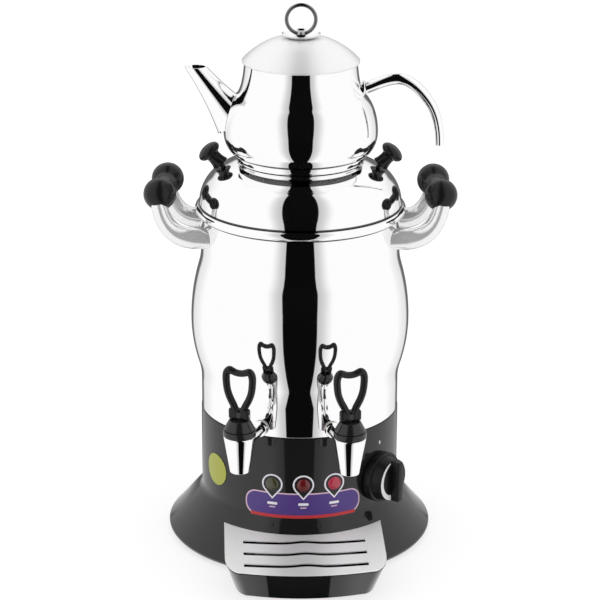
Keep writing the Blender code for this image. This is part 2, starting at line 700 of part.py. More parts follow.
def make_tap_body(side, tap):
    """The steel body: a cone with the valve chamber and nozzle inside, and a shank behind."""
    under = TAP_RING_LOW - CLEAR
    outline = [(TAP_CHAMBER_R, TAP_TOP), (TAP_NECK_R, TAP_TOP), (TAP_NECK_R, under), (TAP_CONE_R, under)]
    outline += [(TAP_CONE_R, under - TAP_TIP_EDGE), (TAP_TIP_R, TAP_TIP_Z), (TAP_TIP_R - TAP_TIP_EDGE, TAP_TIP_Z)]
    outline += [(TAP_NOZZLE_BORE, TAP_TIP_Z + TAP_TIP_R - TAP_TIP_EDGE - TAP_NOZZLE_BORE)]
    outline += [(TAP_NOZZLE_BORE, TAP_SEAT_Z), (TAP_CHAMBER_R, TAP_SEAT_Z)]
    name = side + "_tap_body"
    body = turned(name, outline, STEEL, tap, ROUND_SIDES)
    shoulder_end = WALL_AT_TAP - WASHER_THICK - 2 * CLEAR
    shoulder_start = shoulder_end - SHOULDER_THICK
    shank = [(0, SHANK_START), (SHANK_R, SHANK_START), (SHANK_R, shoulder_start), (SHOULDER_R, shoulder_start)]
    shank += [(SHOULDER_R, shoulder_end), (SHANK_R, shoulder_end), (SHANK_R, SHANK_END), (0, SHANK_END)]
    fuse(body, turned(name + "_shank", shank, None, tap, ROUND_SIDES, (0, 0, SHANK_Z), IN))
    cut(body, rod(name + "_bore", SHANK_BORE, SHANK_END, tap, (0, TAP_NOZZLE_BORE, SHANK_Z), IN))
    washer_start = shoulder_end + CLEAR
    ring = [(SHANK_R + CLEAR, 0), (WASHER_R, 0), (WASHER_R, WASHER_THICK), (SHANK_R + CLEAR, WASHER_THICK)]
    turned(side + "_tap_washer", ring, SILICONE, tap, ROUND_SIDES, (0, washer_start, SHANK_Z), IN)
    nut_start = WALL_AT_TAP + BOILER_WALL + NUT_SETBACK
    hex_nut(side + "_tap_nut", SHANK_R, NUT_R, NUT_THICK, tap, (0, nut_start, SHANK_Z), IN, BRASS)


def make_tap_ring(side, tap):
    """The black ring screwed round the body's neck, which the bonnet closes."""
    bore = TAP_NECK_R + CLEAR
    outline = [(bore, TAP_RING_LOW), (TAP_R, TAP_RING_LOW), (TAP_R, TAP_TOP), (bore, TAP_TOP)]
    turned(side + "_tap_ring", outline, BLACK, tap, ROUND_SIDES)


def make_tap_bonnet(side, tap):
    low = TAP_TOP + CLEAR
    skirt_r = TAP_CHAMBER_R - CLEAR
    bore = skirt_r - BONNET_WALL
    roof = BONNET_TOP - BONNET_WALL
    outline = [(STEM_R + CLEAR, BONNET_TOP), (BONNET_TOP_R, BONNET_TOP), (BONNET_BASE_R, low)]
    outline += [(skirt_r, low), (skirt_r, low - BONNET_SKIRT), (bore, low - BONNET_SKIRT)]
    outline += [(bore, roof), (STEM_R + CLEAR, roof)]
    turned(side + "_tap_bonnet", outline, BLACK, tap, ROUND_SIDES)


def make_tap_stem(side, tap):
    """The valve stem with its rubber cup, its spring and the eye for the lever's pin."""
    cup_low = TAP_SEAT_Z + CLEAR
    cup_top = cup_low + CUP_THICK
    flange_low = cup_top + CLEAR
    flange_top = flange_low + STEM_FLANGE
    outline = [(0, cup_low + CLEAR + STEM_R / 2), (STEM_R, cup_low + CLEAR + STEM_R / 2), (STEM_R, flange_low)]
    outline += [(STEM_FLANGE_R, flange_low), (STEM_FLANGE_R, flange_top), (STEM_R, flange_top)]
    outline += [(STEM_R, LEVER_PIN_Z), (0, LEVER_PIN_Z)]
    name = side + "_tap_stem"
    stem = turned(name, outline, SATIN, tap, SMALL_SIDES)
    low = (-STEM_R, -EYE_HALF_DEPTH, LEVER_PIN_Z - EYE_HALF_DEPTH)
    high = (STEM_R, EYE_HALF_DEPTH, EYE_TOP)
    fuse(stem, add(name + "_eye", box_mesh(name + "_eye", low, high), None, tap))
    cut(stem, rod(name + "_pin_hole", PIN_R + CLEAR, 4 * STEM_R, tap, (-2 * STEM_R, 0, LEVER_PIN_Z), ALONG_X))
    bore = STEM_R + CLEAR
    floor = cup_low + STEM_R / 2
    cup = [(0, cup_low), (CUP_R, cup_low), (CUP_R, cup_top), (bore, cup_top), (bore, floor), (0, floor)]
    turned(side + "_tap_seat_cup", cup, SILICONE, tap, SMALL_SIDES)
    spring_low = flange_top + CLEAR + SPRING_WIRE
    spring_high = BONNET_TOP - BONNET_WALL - CLEAR - SPRING_WIRE
    count = SPRING_TURNS * SPRING_STEPS
    points = []
    for i in range(count + 1):
        angle = math.tau * i / SPRING_STEPS
        height = spring_low + (spring_high - spring_low) * i / count
        points.append((SPRING_R * math.cos(angle), SPRING_R * math.sin(angle), height))
    add(side + "_tap_spring", tube_mesh("spring", points, SPRING_WIRE, 4), STEEL, tap)


def lever_ring():
    """Matching points of the lever's outer edge and of its opening, from the foot up the right side."""
    foot = BONNET_TOP + LOOSE
    height = LEVER_TOP - LEVER_BLOCK_TOP
    outer = [(0, foot), (BLOCK_HALF_WIDTH, foot), (BLOCK_HALF_WIDTH, LEVER_BLOCK_TOP)]
    outer += [(LEVER_HALF_WIDTH * x, LEVER_BLOCK_TOP + height * z) for x, z in LEVER_EDGE_SHARES]
    inner = [(LEVER_HALF_WIDTH * x, LEVER_BLOCK_TOP + height * z) for x, z in LEVER_HOLE_SHARES]
    mirrored = [[(-x, z) for x, z in side[-2:0:-1]] for side in (outer, inner)]
    return outer + mirrored[0], inner + mirrored[1]


def make_tap_lever(side, tap):
    """The black crown-shaped lever, forked at its foot over the stem's eye."""
    outer, inner = lever_ring()
    half = LEVER_DEPTH / 2
    form = bmesh.new()
    loops = []
    for edge in (outer, inner):
        for depth in (-half, half):
            loops.append([form.verts.new((x, depth, z - LEVER_PIN_Z)) for x, z in edge])
    count = len(outer)
    outer_front, outer_back, inner_front, inner_back = loops
    pairs = ((outer_front, inner_front), (inner_back, outer_back), (outer_back, outer_front))
    for first, second in pairs + ((inner_front, inner_back),):
        for i in range(count):
            j = (i + 1) % count
            form.faces.new((first[i], first[j], second[j], second[i]))
    name = side + "_tap_lever"
    hinge = frame(side + "_lever_axis", tap, (0, 0, LEVER_PIN_Z))
    lever = add(name, to_mesh(name, form), BAKELITE, hinge)
    slot_half = STEM_R + CLEAR
    foot = BONNET_TOP - LEVER_PIN_Z - OVERRUN
    roof = EYE_TOP - LEVER_PIN_Z + 2 * STEM_R
    slot = add(name + "_slot", box_mesh(name + "_slot", (-slot_half, -LEVER_DEPTH, foot),
                                        (slot_half, LEVER_DEPTH, roof)), None, hinge)
    hole = rod(name + "_pin_hole", PIN_R + CLEAR, 3 * BLOCK_HALF_WIDTH, hinge, (-1.5 * BLOCK_HALF_WIDTH, 0, 0), ALONG_X)
    cut(lever, slot, hole)
    rod(side + "_tap_pin", PIN_R, 2 * BLOCK_HALF_WIDTH, hinge, (-BLOCK_HALF_WIDTH, 0, 0), ALONG_X, 10, SATIN)


def make_taps():
    for side, turn in TAP_TURNS.items():
        tap = frame(side + "_tap_frame", AXIS, outward(turn, TAP_REACH, 0), turn)
        make_tap_body(side, tap)
        make_tap_ring(side, tap)
        make_tap_bonnet(side, tap)
        make_tap_stem(side, tap)
        make_tap_lever(side, tap)


THERMOSTAT_HALF = (18 * MM, 9 * MM, 14 * MM)
BUSH_GAP = 2 * MM
SHAFT_DEPTH = 9 * MM


def make_thermostat():
    """The knob outside, and the thermostat behind it with its threaded bush through the wall."""
    face = COLUMN_R + LOOSE
    knob_frame = frame("knob_axis", FRONT, outward(KNOB_TURN, face, KNOB_Z), KNOB_TURN)
    drum_r = (KNOB_R + KNOB_FACE_R) / 2 - CLEAR
    bore = KNOB_SHAFT_R + CLEAR
    outline = [(bore, 0), (KNOB_R, 0), (KNOB_R, KNOB_SKIRT), (drum_r, KNOB_SKIRT + CLEAR)]
    outline += [(KNOB_FACE_R, KNOB_DEPTH), (0, KNOB_DEPTH), (0, SHAFT_DEPTH + LOOSE), (bore, SHAFT_DEPTH + LOOSE)]
    knob = turned("thermostat_knob", outline, BAKELITE, knob_frame, 24, (0, 0, 0), OUT)
    low = (-KNOB_GRIP_THICK / 2, -KNOB_GRIP_REACH, -KNOB_FACE_R)
    high = (KNOB_GRIP_THICK / 2, -KNOB_DEPTH + OVERRUN, KNOB_FACE_R)
    fuse(knob, add("knob_grip", box_mesh("knob_grip", low, high), None, knob_frame))
    wall_inside = COLUMN_R - BASE_WALL
    half_x, half_y, half_z = THERMOSTAT_HALF
    inner_face = wall_inside * math.cos(math.asin(half_x / wall_inside)) - COLUMN_R - BUSH_GAP
    low = (-half_x, -inner_face, -half_z)
    high = (half_x, -inner_face + 2 * half_y, half_z)
    body = add("thermostat", box_mesh("thermostat", low, high), CERAMIC, knob_frame)
    reach = BASE_WALL + BUSH_GAP + OVERRUN
    fuse(body, rod("thermostat_bush", BOSS_R, reach, knob_frame, (0, -inner_face + OVERRUN, 0), OUT))
    cut(body, rod("bush_bore", KNOB_SHAFT_R + CLEAR, reach + OVERRUN, knob_frame, (0, -inner_face + OVERRUN, 0), OUT))
    shaft_end = -inner_face + OVERRUN - CLEAR
    rod("thermostat_shaft", KNOB_SHAFT_R, SHAFT_DEPTH + shaft_end, knob_frame, (0, shaft_end, 0), OUT, material=SATIN)


LAMP_DOME = 3.2 * MM
LAMP_RIM_R = 8.2 * MM
LAMP_RIM = 1.2 * MM
LAMP_BODY = 14 * MM
LABEL_STEPS = 12
LABEL_ROUND_SHARE = 0.22
DISC_R = 18 * MM
DISC_Z = 92 * MM
DISC_TURN = math.radians(-56.8)
DISC_SIDES = 60


def make_front():
    """Three neon lamps pressed into the column, and the curved label under them."""
    lenses = {"left": LAMP_OFF, "middle": LAMP_DULL, "right": LAMP_ON}
    for number, (name, lens) in enumerate(lenses.items()):
        turn = (number - 1) * LAMP_PITCH
        seat = LOOSE
        outline = [(0, -LAMP_BODY), (LAMP_BODY_R, -LAMP_BODY), (LAMP_BODY_R, seat), (LAMP_RIM_R, seat)]
        outline += [(LAMP_RIM_R, seat + LAMP_RIM / 2), (LAMP_R, seat + LAMP_RIM)]
        outline += [(LAMP_R * math.sqrt(1 / 2), seat + LAMP_DOME * math.sqrt(3 / 4)), (0, seat + LAMP_DOME)]
        turned("lamp_" + name, outline, lens, FRONT, 16, outward(turn, COLUMN_R, LAMP_Z), (math.pi / 2, 0, turn))
    inside = COLUMN_R + CLEAR
    columns = []
    for i in range(LABEL_STEPS + 1):
        share = 2 * i / LABEL_STEPS - 1
        turn = share * LABEL_SPAN / 2
        height = LABEL_HIGH - LABEL_LOW
        round_off = max(0, (abs(share) - 1 + LABEL_ROUND_SHARE) / LABEL_ROUND_SHARE)
        squeeze = LABEL_ROUND_SHARE * height * (1 - math.sqrt(max(0, 1 - round_off ** 2)))
        column = []
        for radius, level in ((inside, LABEL_LOW + squeeze), (inside + LABEL_THICK, LABEL_LOW + squeeze),
                              (inside + LABEL_THICK, LABEL_HIGH - squeeze), (inside, LABEL_HIGH - squeeze)):
            column.append(outward(turn, radius, level))
        columns.append(column)
    add("control_label", layered_mesh("control_label", columns), PURPLE, FRONT)
    sheet = [(COLUMN_R + CLEAR, -DISC_R), (COLUMN_R + CLEAR + LABEL_THICK, -DISC_R)]
    sheet += [(COLUMN_R + CLEAR + LABEL_THICK, DISC_R), (COLUMN_R + CLEAR, DISC_R)]
    disc = turned("round_label", sheet, OLIVE, FRONT, DISC_SIDES, (0, 0, DISC_Z))
    reach = COLUMN_R + 2 * OVERRUN
    stamp = rod("disc_stamp", DISC_R, reach, FRONT, (0, 0, DISC_Z), (math.pi / 2, 0, DISC_TURN), 20)
    boolean(disc, stamp, "INTERSECT")


PIN_HALF = (1 * MM, 2 * MM)
PIN_PITCH = 7 * MM
INLET_WALL = 3 * MM
INLET_DEPTH = 18 * MM
INLET_CLEAR = 0.5 * MM
BLOCK_HALF = (17 * MM, 10 * MM, 7 * MM)


def make_inlet():
    """The appliance inlet at the back of the column, a socket with three contact pins."""
    half_x, half_z = INLET_HALF[0] - INLET_CLEAR, INLET_HALF[1] - INLET_CLEAR
    wall_out = COLUMN_R + LOOSE
    back = wall_out + INLET_FLANGE
    front = wall_out - INLET_DEPTH
    low = (-half_x, front, INLET_Z - half_z)
    high = (half_x, wall_out + CLEAR, INLET_Z + half_z)
    inlet = add("power_inlet", box_mesh("power_inlet", low, high), BLACK, FRONT)
    wide_x, wide_z = half_x + INLET_FLANGE, half_z + INLET_FLANGE
    flange = add("inlet_flange", box_mesh("inlet_flange", (-wide_x, wall_out, INLET_Z - wide_z),
                                          (wide_x, back, INLET_Z + wide_z)), None, FRONT)
    hollow_x, hollow_z = half_x - INLET_WALL, half_z - INLET_WALL
    hollow = add("inlet_hollow", box_mesh("inlet_hollow", (-hollow_x, front + INLET_WALL, INLET_Z - hollow_z),
                                          (hollow_x, back + OVERRUN, INLET_Z + hollow_z)), None, FRONT)
    fuse(inlet, flange)
    cut(inlet, hollow)
    for number in (-1, 0, 1):
        middle = number * PIN_PITCH
        low = (middle - PIN_HALF[0], front + INLET_WALL / 2, INLET_Z - PIN_HALF[1])
        high = (middle + PIN_HALF[0], wall_out, INLET_Z + PIN_HALF[1])
        fuse(inlet, add("inlet_pin_%d" % (number + 2), box_mesh("inlet_pin", low, high), None, FRONT))


def make_wiring():
    """The terminal block on the base's floor."""
    half_x, half_y, half_z = BLOCK_HALF
    floor = COVER_TOP
    place_y = COLUMN_R / 2 + COVER_DISH
    low = (-half_x, place_y - half_y, floor)
    high = (half_x, place_y + half_y, floor + 2 * half_z)
    block = add("terminal_block", box_mesh("terminal_block", low, high), CERAMIC, FRONT)
    for number in (-1, 0, 1):
        middle = number * half_x * 2 / 3
        low = (middle - half_x / 5, place_y - half_y - OVERRUN, floor + half_z)
        high = (middle + half_x / 5, place_y + half_y + OVERRUN, floor + 2 * half_z + OVERRUN)
        cut(block, add("terminal_cutter_%d" % (number + 2), box_mesh("terminal_cutter", low, high), None, FRONT))


# Drip tray and its grille
TRAY_FRONT_SHARES = (1, 0.6, 0.2)


def tray_outline(half_width, back, reach, corner, height):
    """The tray seen from above: straight back, rounded front corners and a bowed front."""
    side_end = reach - TRAY_BOW - corner
    points = [(half_width, -back, height), (half_width, -side_end, height)]
    middle = (half_width - corner, -side_end)
    for i in range(1, 5):
        angle = -math.pi / 2 * i / 5
        points.append((middle[0] + corner * math.cos(angle), middle[1] + corner * math.sin(angle), height))
    for share in TRAY_FRONT_SHARES:
        x = share * (half_width - corner)
        points.append((x, -(reach - TRAY_BOW * share ** 2), height))
    return points + [(-x, y, z) for x, y, z in points[::-1]]


def skirt_cutter(name, grow):
    """The base's outer shape, moved out by grow, that the tray is hollowed to fit."""
    outline = [(0, COLUMN_TOP)] + skirt_outline(grow)
    outline += [(BRIM_R + grow, -OVERRUN), (0, -OVERRUN)]
    return turned(name, outline, None, FRONT, WIDE_SIDES)


def make_tray():
    low = tray_outline(TRAY_HALF_WIDTH - TRAY_TAPER, TRAY_BACK, TRAY_REACH - TRAY_FRONT_TAPER, TRAY_CORNER, 0)
    high = tray_outline(TRAY_HALF_WIDTH, TRAY_BACK, TRAY_REACH, TRAY_CORNER, TRAY_TOP)
    tray = add("drip_tray", layered_mesh("drip_tray", [low, high]), BLACK, FRONT)
    wall = TRAY_WALL
    floor = tray_outline(TRAY_HALF_WIDTH - TRAY_TAPER - wall, TRAY_BACK + wall, TRAY_REACH - TRAY_FRONT_TAPER - wall,
                         TRAY_CORNER - wall, wall)
    mouth = tray_outline(TRAY_HALF_WIDTH - wall, TRAY_BACK + wall, TRAY_REACH - wall, TRAY_CORNER - wall,
                         TRAY_TOP + OVERRUN)
    hollow = add("tray_hollow", layered_mesh("tray_hollow", [floor, mouth]), None, FRONT)
    cut(hollow, skirt_cutter("skirt_and_wall", TRAY_GAP + wall))
    cut(tray, skirt_cutter("skirt_space", TRAY_GAP), hollow)
    top = TRAY_TOP + CLEAR
    layers = [tray_outline(TRAY_HALF_WIDTH, TRAY_BACK, TRAY_REACH, TRAY_CORNER, z) for z in (top, top + GRILLE_THICK)]
    grille = add("drip_grille", layered_mesh("drip_grille", layers), SATIN, FRONT)
    cut(grille, skirt_cutter("grille_space", TRAY_GAP))
    first = -(TRAY_REACH + COLUMN_R) / 2 + (SLOT_COUNT - 1) / 2 * SLOT_PITCH
    for number in range(SLOT_COUNT):
        cut(grille, slot_cutter("slot_cutter_%d" % number, first - number * SLOT_PITCH))


SLOT_SAG = 11 * MM
SLOT_BUMP = 6 * MM
SLOT_BUMP_SHARE = 0.24
SLOT_STEPS = 12


def slot_cutter(name, middle):
    """A wavy slot: it sags toward the front, with a small rise at its middle."""
    sides = []
    for edge in (-1, 1):
        for i in range(SLOT_STEPS + 1):
            share = 2 * i / SLOT_STEPS - 1
            sag = SLOT_SAG * math.cos(math.pi * share / 2) - SLOT_BUMP * math.exp(-(share / SLOT_BUMP_SHARE) ** 2)
            sides.append((share * SLOT_LENGTH / 2, middle + SLOT_SAG / 2 - sag + edge * SLOT_WIDTH / 2))
    loop = sides[:SLOT_STEPS + 1] + sides[:SLOT_STEPS:-1]
    low, high = TRAY_TOP - OVERRUN, TRAY_TOP + GRILLE_THICK + OVERRUN
    return add(name, layered_mesh(name, [[(x, y, z) for x, y in loop] for z in (low, high)]), None, FRONT)


# Teapot
POT_PULL_SHARE = 0.3
SPOUT_MIDDLE_SHARE = 0.42


def pot_outline(shrink, belly_steps, top):
    """The pot's wall from its foot to its top edge, moved in by shrink."""
    core = POT_CORE_R
    across = POT_BELLY_R - core - shrink
    foot_angle = math.asin((POT_FOOT_Z + shrink - POT_BELLY_Z) / POT_LOWER_REACH)
    shoulder_angle = math.asin((POT_SHOULDER_Z - POT_BELLY_Z) / POT_UPPER_REACH)
    points = arc((core, POT_BELLY_Z), across, POT_LOWER_REACH, foot_angle, 0, belly_steps)
    points += arc((core, POT_BELLY_Z), across, POT_UPPER_REACH, 0, shoulder_angle, belly_steps)[1:]
    start = points[-1]
    neck = POT_NECK_R - shrink
    pull = (neck + POT_PULL_SHARE * (start[0] - neck), POT_SHOULDER_Z + POT_PULL_SHARE * (POT_TOP - POT_SHOULDER_Z))
    return points + swoop(start, pull, (neck, top), 4)[1:]


def make_pot():
    outer = pot_outline(0, 4, POT_TOP)
    inner = pot_outline(POT_WALL, 3, POT_TOP)
    floor = POT_FOOT_Z + POT_WALL
    outline = [(0, POT_FOOT_Z)] + outer + inner[::-1] + [(0, floor)]
    pot = turned("teapot_body", outline, STEEL, AXIS, POT_SIDES)
    make_pot_spout(pot)
    make_pot_handle(pot)


POT_SPOUT_ROOT = (-70 * MM, 473 * MM)
POT_SPOUT_ROOT_R = 23.5 * MM
POT_SPOUT_TIP = (-119 * MM, 539 * MM)
POT_SPOUT_TIP_R = 8.8 * MM
POT_SPOUT_MOUTH_Z = 531 * MM
STRAINER_R = 2.6 * MM
STRAINER_PITCH = 8 * MM
STRAINER_Z = 474 * MM


def spout_cone(name, shrink, extend):
    """A cone from inside the pot to past the mouth, moved in by shrink."""
    root = Vector((POT_SPOUT_ROOT[0], 0, POT_SPOUT_ROOT[1]))
    tip = Vector((POT_SPOUT_TIP[0], 0, POT_SPOUT_TIP[1]))
    run = tip - root
    lean = math.atan2(run.x, run.z)
    root_r, tip_r = POT_SPOUT_ROOT_R - shrink, POT_SPOUT_TIP_R - shrink
    middle_r = tip_r + SPOUT_MIDDLE_SHARE * (root_r - tip_r)
    length = run.length
    outline = [(0, -extend), (root_r, -extend), (root_r, 0), (middle_r, length / 2), (tip_r, length)]
    outline += [(tip_r, length + extend), (0, length + extend)]
    return turned(name, outline, None, AXIS, ROUND_SIDES, root, (0, lean, 0))


def make_pot_spout(pot):
    spout = spout_cone("teapot_spout", 0, 0)
    spout.data.materials.append(STEEL)
    body_space = [(0, POT_FOOT_Z - OVERRUN)] + [(r + CLEAR, z) for r, z in pot_outline(0, 4, POT_TOP)]
    body_space += [(POT_NECK_R, POT_TOP + OVERRUN), (0, POT_TOP + OVERRUN)]
    cut(spout, turned("pot_space", body_space, None, AXIS, POT_SIDES))
    cut(spout, spout_cone("spout_bore", POT_WALL, OVERRUN))
    width = 2 * POT_BELLY_R
    low = (-width, -POT_BELLY_R, POT_SPOUT_MOUTH_Z)
    high = (0, POT_BELLY_R, POT_SPOUT_MOUTH_Z + POT_BELLY_R)
    cut(spout, add("mouth_cutter", box_mesh("mouth_cutter", low, high), None, AXIS))
    for row in (-1, 0, 1):
        for place in (-1, 0, 1):
            if abs(row) + abs(place) < 2:
                at = (-POT_BELLY_R - OVERRUN, place * STRAINER_PITCH, STRAINER_Z + row * STRAINER_PITCH)
                hole = rod("strainer_%d_%d" % (row + 1, place + 1), STRAINER_R, 4 * OVERRUN, AXIS, at, ALONG_X, 8)
                cut(pot, hole)


HANDLE_R = 6.2 * MM
HANDLE_TIP_R = 4.2 * MM
HANDLE_START = (61 * MM, 505 * MM)
HANDLE_ROOT = (75 * MM, 510.5 * MM)
HANDLE_TOP = (102 * MM, 519 * MM)
HANDLE_TURN = (136 * MM, 496 * MM)
HANDLE_TIP = (149.5 * MM, 446 * MM)
HANDLE_PLATE_R = 10 * MM
HANDLE_PLATE = 3 * MM
HANDLE_BORE_SHARE = 0.7
HANDLE_RISE_SHARE = 0.6
HANDLE_BEND_SHARES = (0.3, 0.15)
HANDLE_FALL_SHARE = 0.45


def make_pot_handle(pot):
    """A tapering steel tube, open at its free end, welded to the pot by a small plate."""
    rise_x = HANDLE_ROOT[0] + HANDLE_RISE_SHARE * (HANDLE_TOP[0] - HANDLE_ROOT[0])
    first = swoop(HANDLE_ROOT, (rise_x, HANDLE_TOP[1]), HANDLE_TOP, 2)
    bend = (HANDLE_TURN[0] - HANDLE_BEND_SHARES[0] * (HANDLE_TURN[0] - HANDLE_TOP[0]),
            HANDLE_TOP[1] - HANDLE_BEND_SHARES[1] * (HANDLE_TOP[1] - HANDLE_TURN[1]))
    second = swoop(HANDLE_TOP, bend, HANDLE_TURN, 4)[1:]
    fall_z = HANDLE_TURN[1] - HANDLE_FALL_SHARE * (HANDLE_TURN[1] - HANDLE_TIP[1])
    third = swoop(HANDLE_TURN, (HANDLE_TIP[0], fall_z), HANDLE_TIP, 5)[1:]
    route = first + second + third
    points = [Vector((HANDLE_START[0], 0, HANDLE_START[1]))] + [Vector((x, 0, z)) for x, z in route]
    count = len(points) - 1
    radii = [HANDLE_R + (HANDLE_TIP_R - HANDLE_R) * (i / count) ** 2 for i in range(count + 1)]
    handle = add("teapot_handle", tube_mesh("teapot_handle", points, HANDLE_R, 12, radii), STEEL, AXIS)
    inside = [radius * HANDLE_BORE_SHARE for radius in radii]
    tail = points[-1] + (points[-1] - points[-2]).normalized() * OVERRUN
    bore = add("handle_bore", tube_mesh("handle_bore", points[3:] + [tail], HANDLE_R, 12, inside[3:] + inside[-1:]),
               None, AXIS)
    plate = turned("handle_plate", [(0, 0), (HANDLE_PLATE_R, 0), (HANDLE_R, HANDLE_PLATE), (0, HANDLE_PLATE)], None,
                   AXIS, SMALL_SIDES, (HANDLE_ROOT[0] - 3 * HANDLE_PLATE, 0, HANDLE_ROOT[1] - HANDLE_PLATE), ALONG_X)
    fuse(handle, plate)
    space = [(0, POT_FOOT_Z - OVERRUN)] + [(r + CLEAR, z) for r, z in pot_outline(0, 4, POT_TOP)]
    space += [(POT_NECK_R, POT_TOP + OVERRUN), (0, POT_TOP + OVERRUN)]
    cut(handle, bore, turned("handle_space", space, None, AXIS, POT_SIDES))


CAP_R = 84.5 * MM
PLUG_DEPTH = 8 * MM
PLUG_R = 58 * MM
DISH_R = 20.5 * MM
DISH_FOOT_R = 13 * MM
DISH_FLOOR = 1 * MM
DISH_RISE = 5 * MM
BUSH_R = 5 * MM
BUSH_TOP = 8 * MM
BUSH_STEM_R = 2.5 * MM
BUSH_STEM = 9 * MM


def make_pot_lid():
    """A domed lid with a flat crown, and a ring on a shallow dish as its knob."""
    edge_top = POT_LID_SEAT + POT_LID_EDGE
    edge_angle = math.acos(POT_LID_R / CAP_R)
    crown_angle = math.acos(POT_LID_FLAT_R / CAP_R)
    centre_z = edge_top - CAP_R * math.sin(edge_angle)
    dome = arc((0, centre_z), CAP_R, CAP_R, edge_angle, crown_angle, 4)
    drop = dome[-1][1] - POT_LID_TOP
    dome = [(r, z - drop * (z - edge_top) / (dome[-1][1] - edge_top)) for r, z in dome]
    under = [(r - POT_LID_WALL, z - POT_LID_WALL) for r, z in dome]
    hole = BUSH_STEM_R + CLEAR
    outline = [(hole, POT_LID_TOP)] + dome[::-1] + [(POT_LID_R, POT_LID_SEAT), (PLUG_R, POT_LID_SEAT)]
    outline += [(PLUG_R, POT_LID_SEAT - PLUG_DEPTH), (PLUG_R - POT_LID_WALL, POT_LID_SEAT - PLUG_DEPTH)]
    outline += [(PLUG_R - POT_LID_WALL, POT_LID_SEAT + POT_LID_WALL)] + under[1:]
    outline += [(hole, POT_LID_TOP - POT_LID_WALL)]
    turned("teapot_lid", outline, STEEL, AXIS, POT_SIDES)
    floor = POT_LID_TOP + CLEAR
    dish = [(hole, floor + DISH_FLOOR), (DISH_FOOT_R, floor + DISH_FLOOR), (DISH_R, floor + DISH_RISE)]
    dish += [(DISH_R, floor + DISH_RISE - DISH_FLOOR), (DISH_FOOT_R, floor), (hole, floor)]
    turned("knob_dish", dish, STEEL, AXIS, ROUND_SIDES)
    ring_z = RING_TOP - RING_WIRE - RING_R
    loop = [Vector((x, 0, ring_z + z)) for x, z in circle(RING_R, 20)]
    add("knob_ring", tube_mesh("knob_ring", loop, RING_WIRE, 8, closed=True), STEEL, AXIS)
    seat = floor + DISH_FLOOR + CLEAR
    bush = [(0, seat + BUSH_TOP), (BUSH_R, seat + BUSH_TOP), (BUSH_R, seat), (BUSH_STEM_R, seat)]
    bush += [(BUSH_STEM_R, seat - BUSH_STEM), (0, seat - BUSH_STEM)]
    bush = turned("knob_bush", bush, BAKELITE, AXIS, SMALL_SIDES)
    groove = add("ring_groove", tube_mesh("ring_groove", loop, RING_WIRE + CLEAR, 8, closed=True), None, AXIS)
    cut(bush, groove)
    nut_top = POT_LID_TOP - POT_LID_WALL - CLEAR
    hex_nut("knob_nut", BUSH_STEM_R, 2 * BUSH_STEM_R, OVERRUN, AXIS, (0, 0, nut_top - OVERRUN), material=BRASS)


make_base()
make_cover()
make_boiler()
make_element()
make_lid()
make_handles()
make_taps()
make_thermostat()
make_front()
make_inlet()
make_wiring()
make_tray()
make_pot()
make_pot_lid()
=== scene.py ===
"""Tea samovar with lever taps, drip tray and teapot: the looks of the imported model."""
import math

import bmesh
import bpy
from mathutils import Matrix, Vector


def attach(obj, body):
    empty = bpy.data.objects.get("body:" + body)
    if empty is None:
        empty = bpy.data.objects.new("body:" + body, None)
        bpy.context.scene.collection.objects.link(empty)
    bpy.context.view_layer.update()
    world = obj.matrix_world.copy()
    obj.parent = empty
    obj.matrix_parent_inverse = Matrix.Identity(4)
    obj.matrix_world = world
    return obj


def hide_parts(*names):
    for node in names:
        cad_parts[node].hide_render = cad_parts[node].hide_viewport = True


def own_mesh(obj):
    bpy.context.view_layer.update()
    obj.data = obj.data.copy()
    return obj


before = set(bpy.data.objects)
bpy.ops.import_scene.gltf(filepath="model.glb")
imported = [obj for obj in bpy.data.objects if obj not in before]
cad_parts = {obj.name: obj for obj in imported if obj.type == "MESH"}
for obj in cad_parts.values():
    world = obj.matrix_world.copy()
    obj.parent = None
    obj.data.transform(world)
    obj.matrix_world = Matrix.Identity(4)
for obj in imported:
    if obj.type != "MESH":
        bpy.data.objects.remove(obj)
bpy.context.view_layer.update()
MM = 0.001

# Camera
# One long lens in front of the taps, looking down at the height of a person's chest.
# It is placed from the photograph: 2.34 m from the boiler's axis, with a slight roll.
AXIS = Vector((0, 35.8 * MM, 0))
CAMERA_BACK = 2340 * MM
CAMERA_HEIGHT = 1086 * MM
CAMERA_DOWN = math.radians(19.26)
CAMERA_ROLL = math.radians(0.24)
LENS_PIXELS = 2248
FRAME_PIXELS = 600

camera = bpy.data.objects.new("camera", bpy.data.cameras.new("camera"))
bpy.context.collection.objects.link(camera)
camera.data.sensor_width = 36
camera.data.lens = camera.data.sensor_width * LENS_PIXELS / FRAME_PIXELS
camera.matrix_world = (
    Matrix.Translation(AXIS + Vector((0, -CAMERA_BACK, CAMERA_HEIGHT)))
    @ Matrix.Rotation(math.pi / 2 - CAMERA_DOWN, 4, "X")
    @ Matrix.Rotation(CAMERA_ROLL, 4, "Z")
)
bpy.context.scene.camera = camera
bpy.context.scene.view_settings.view_transform = "Standard"


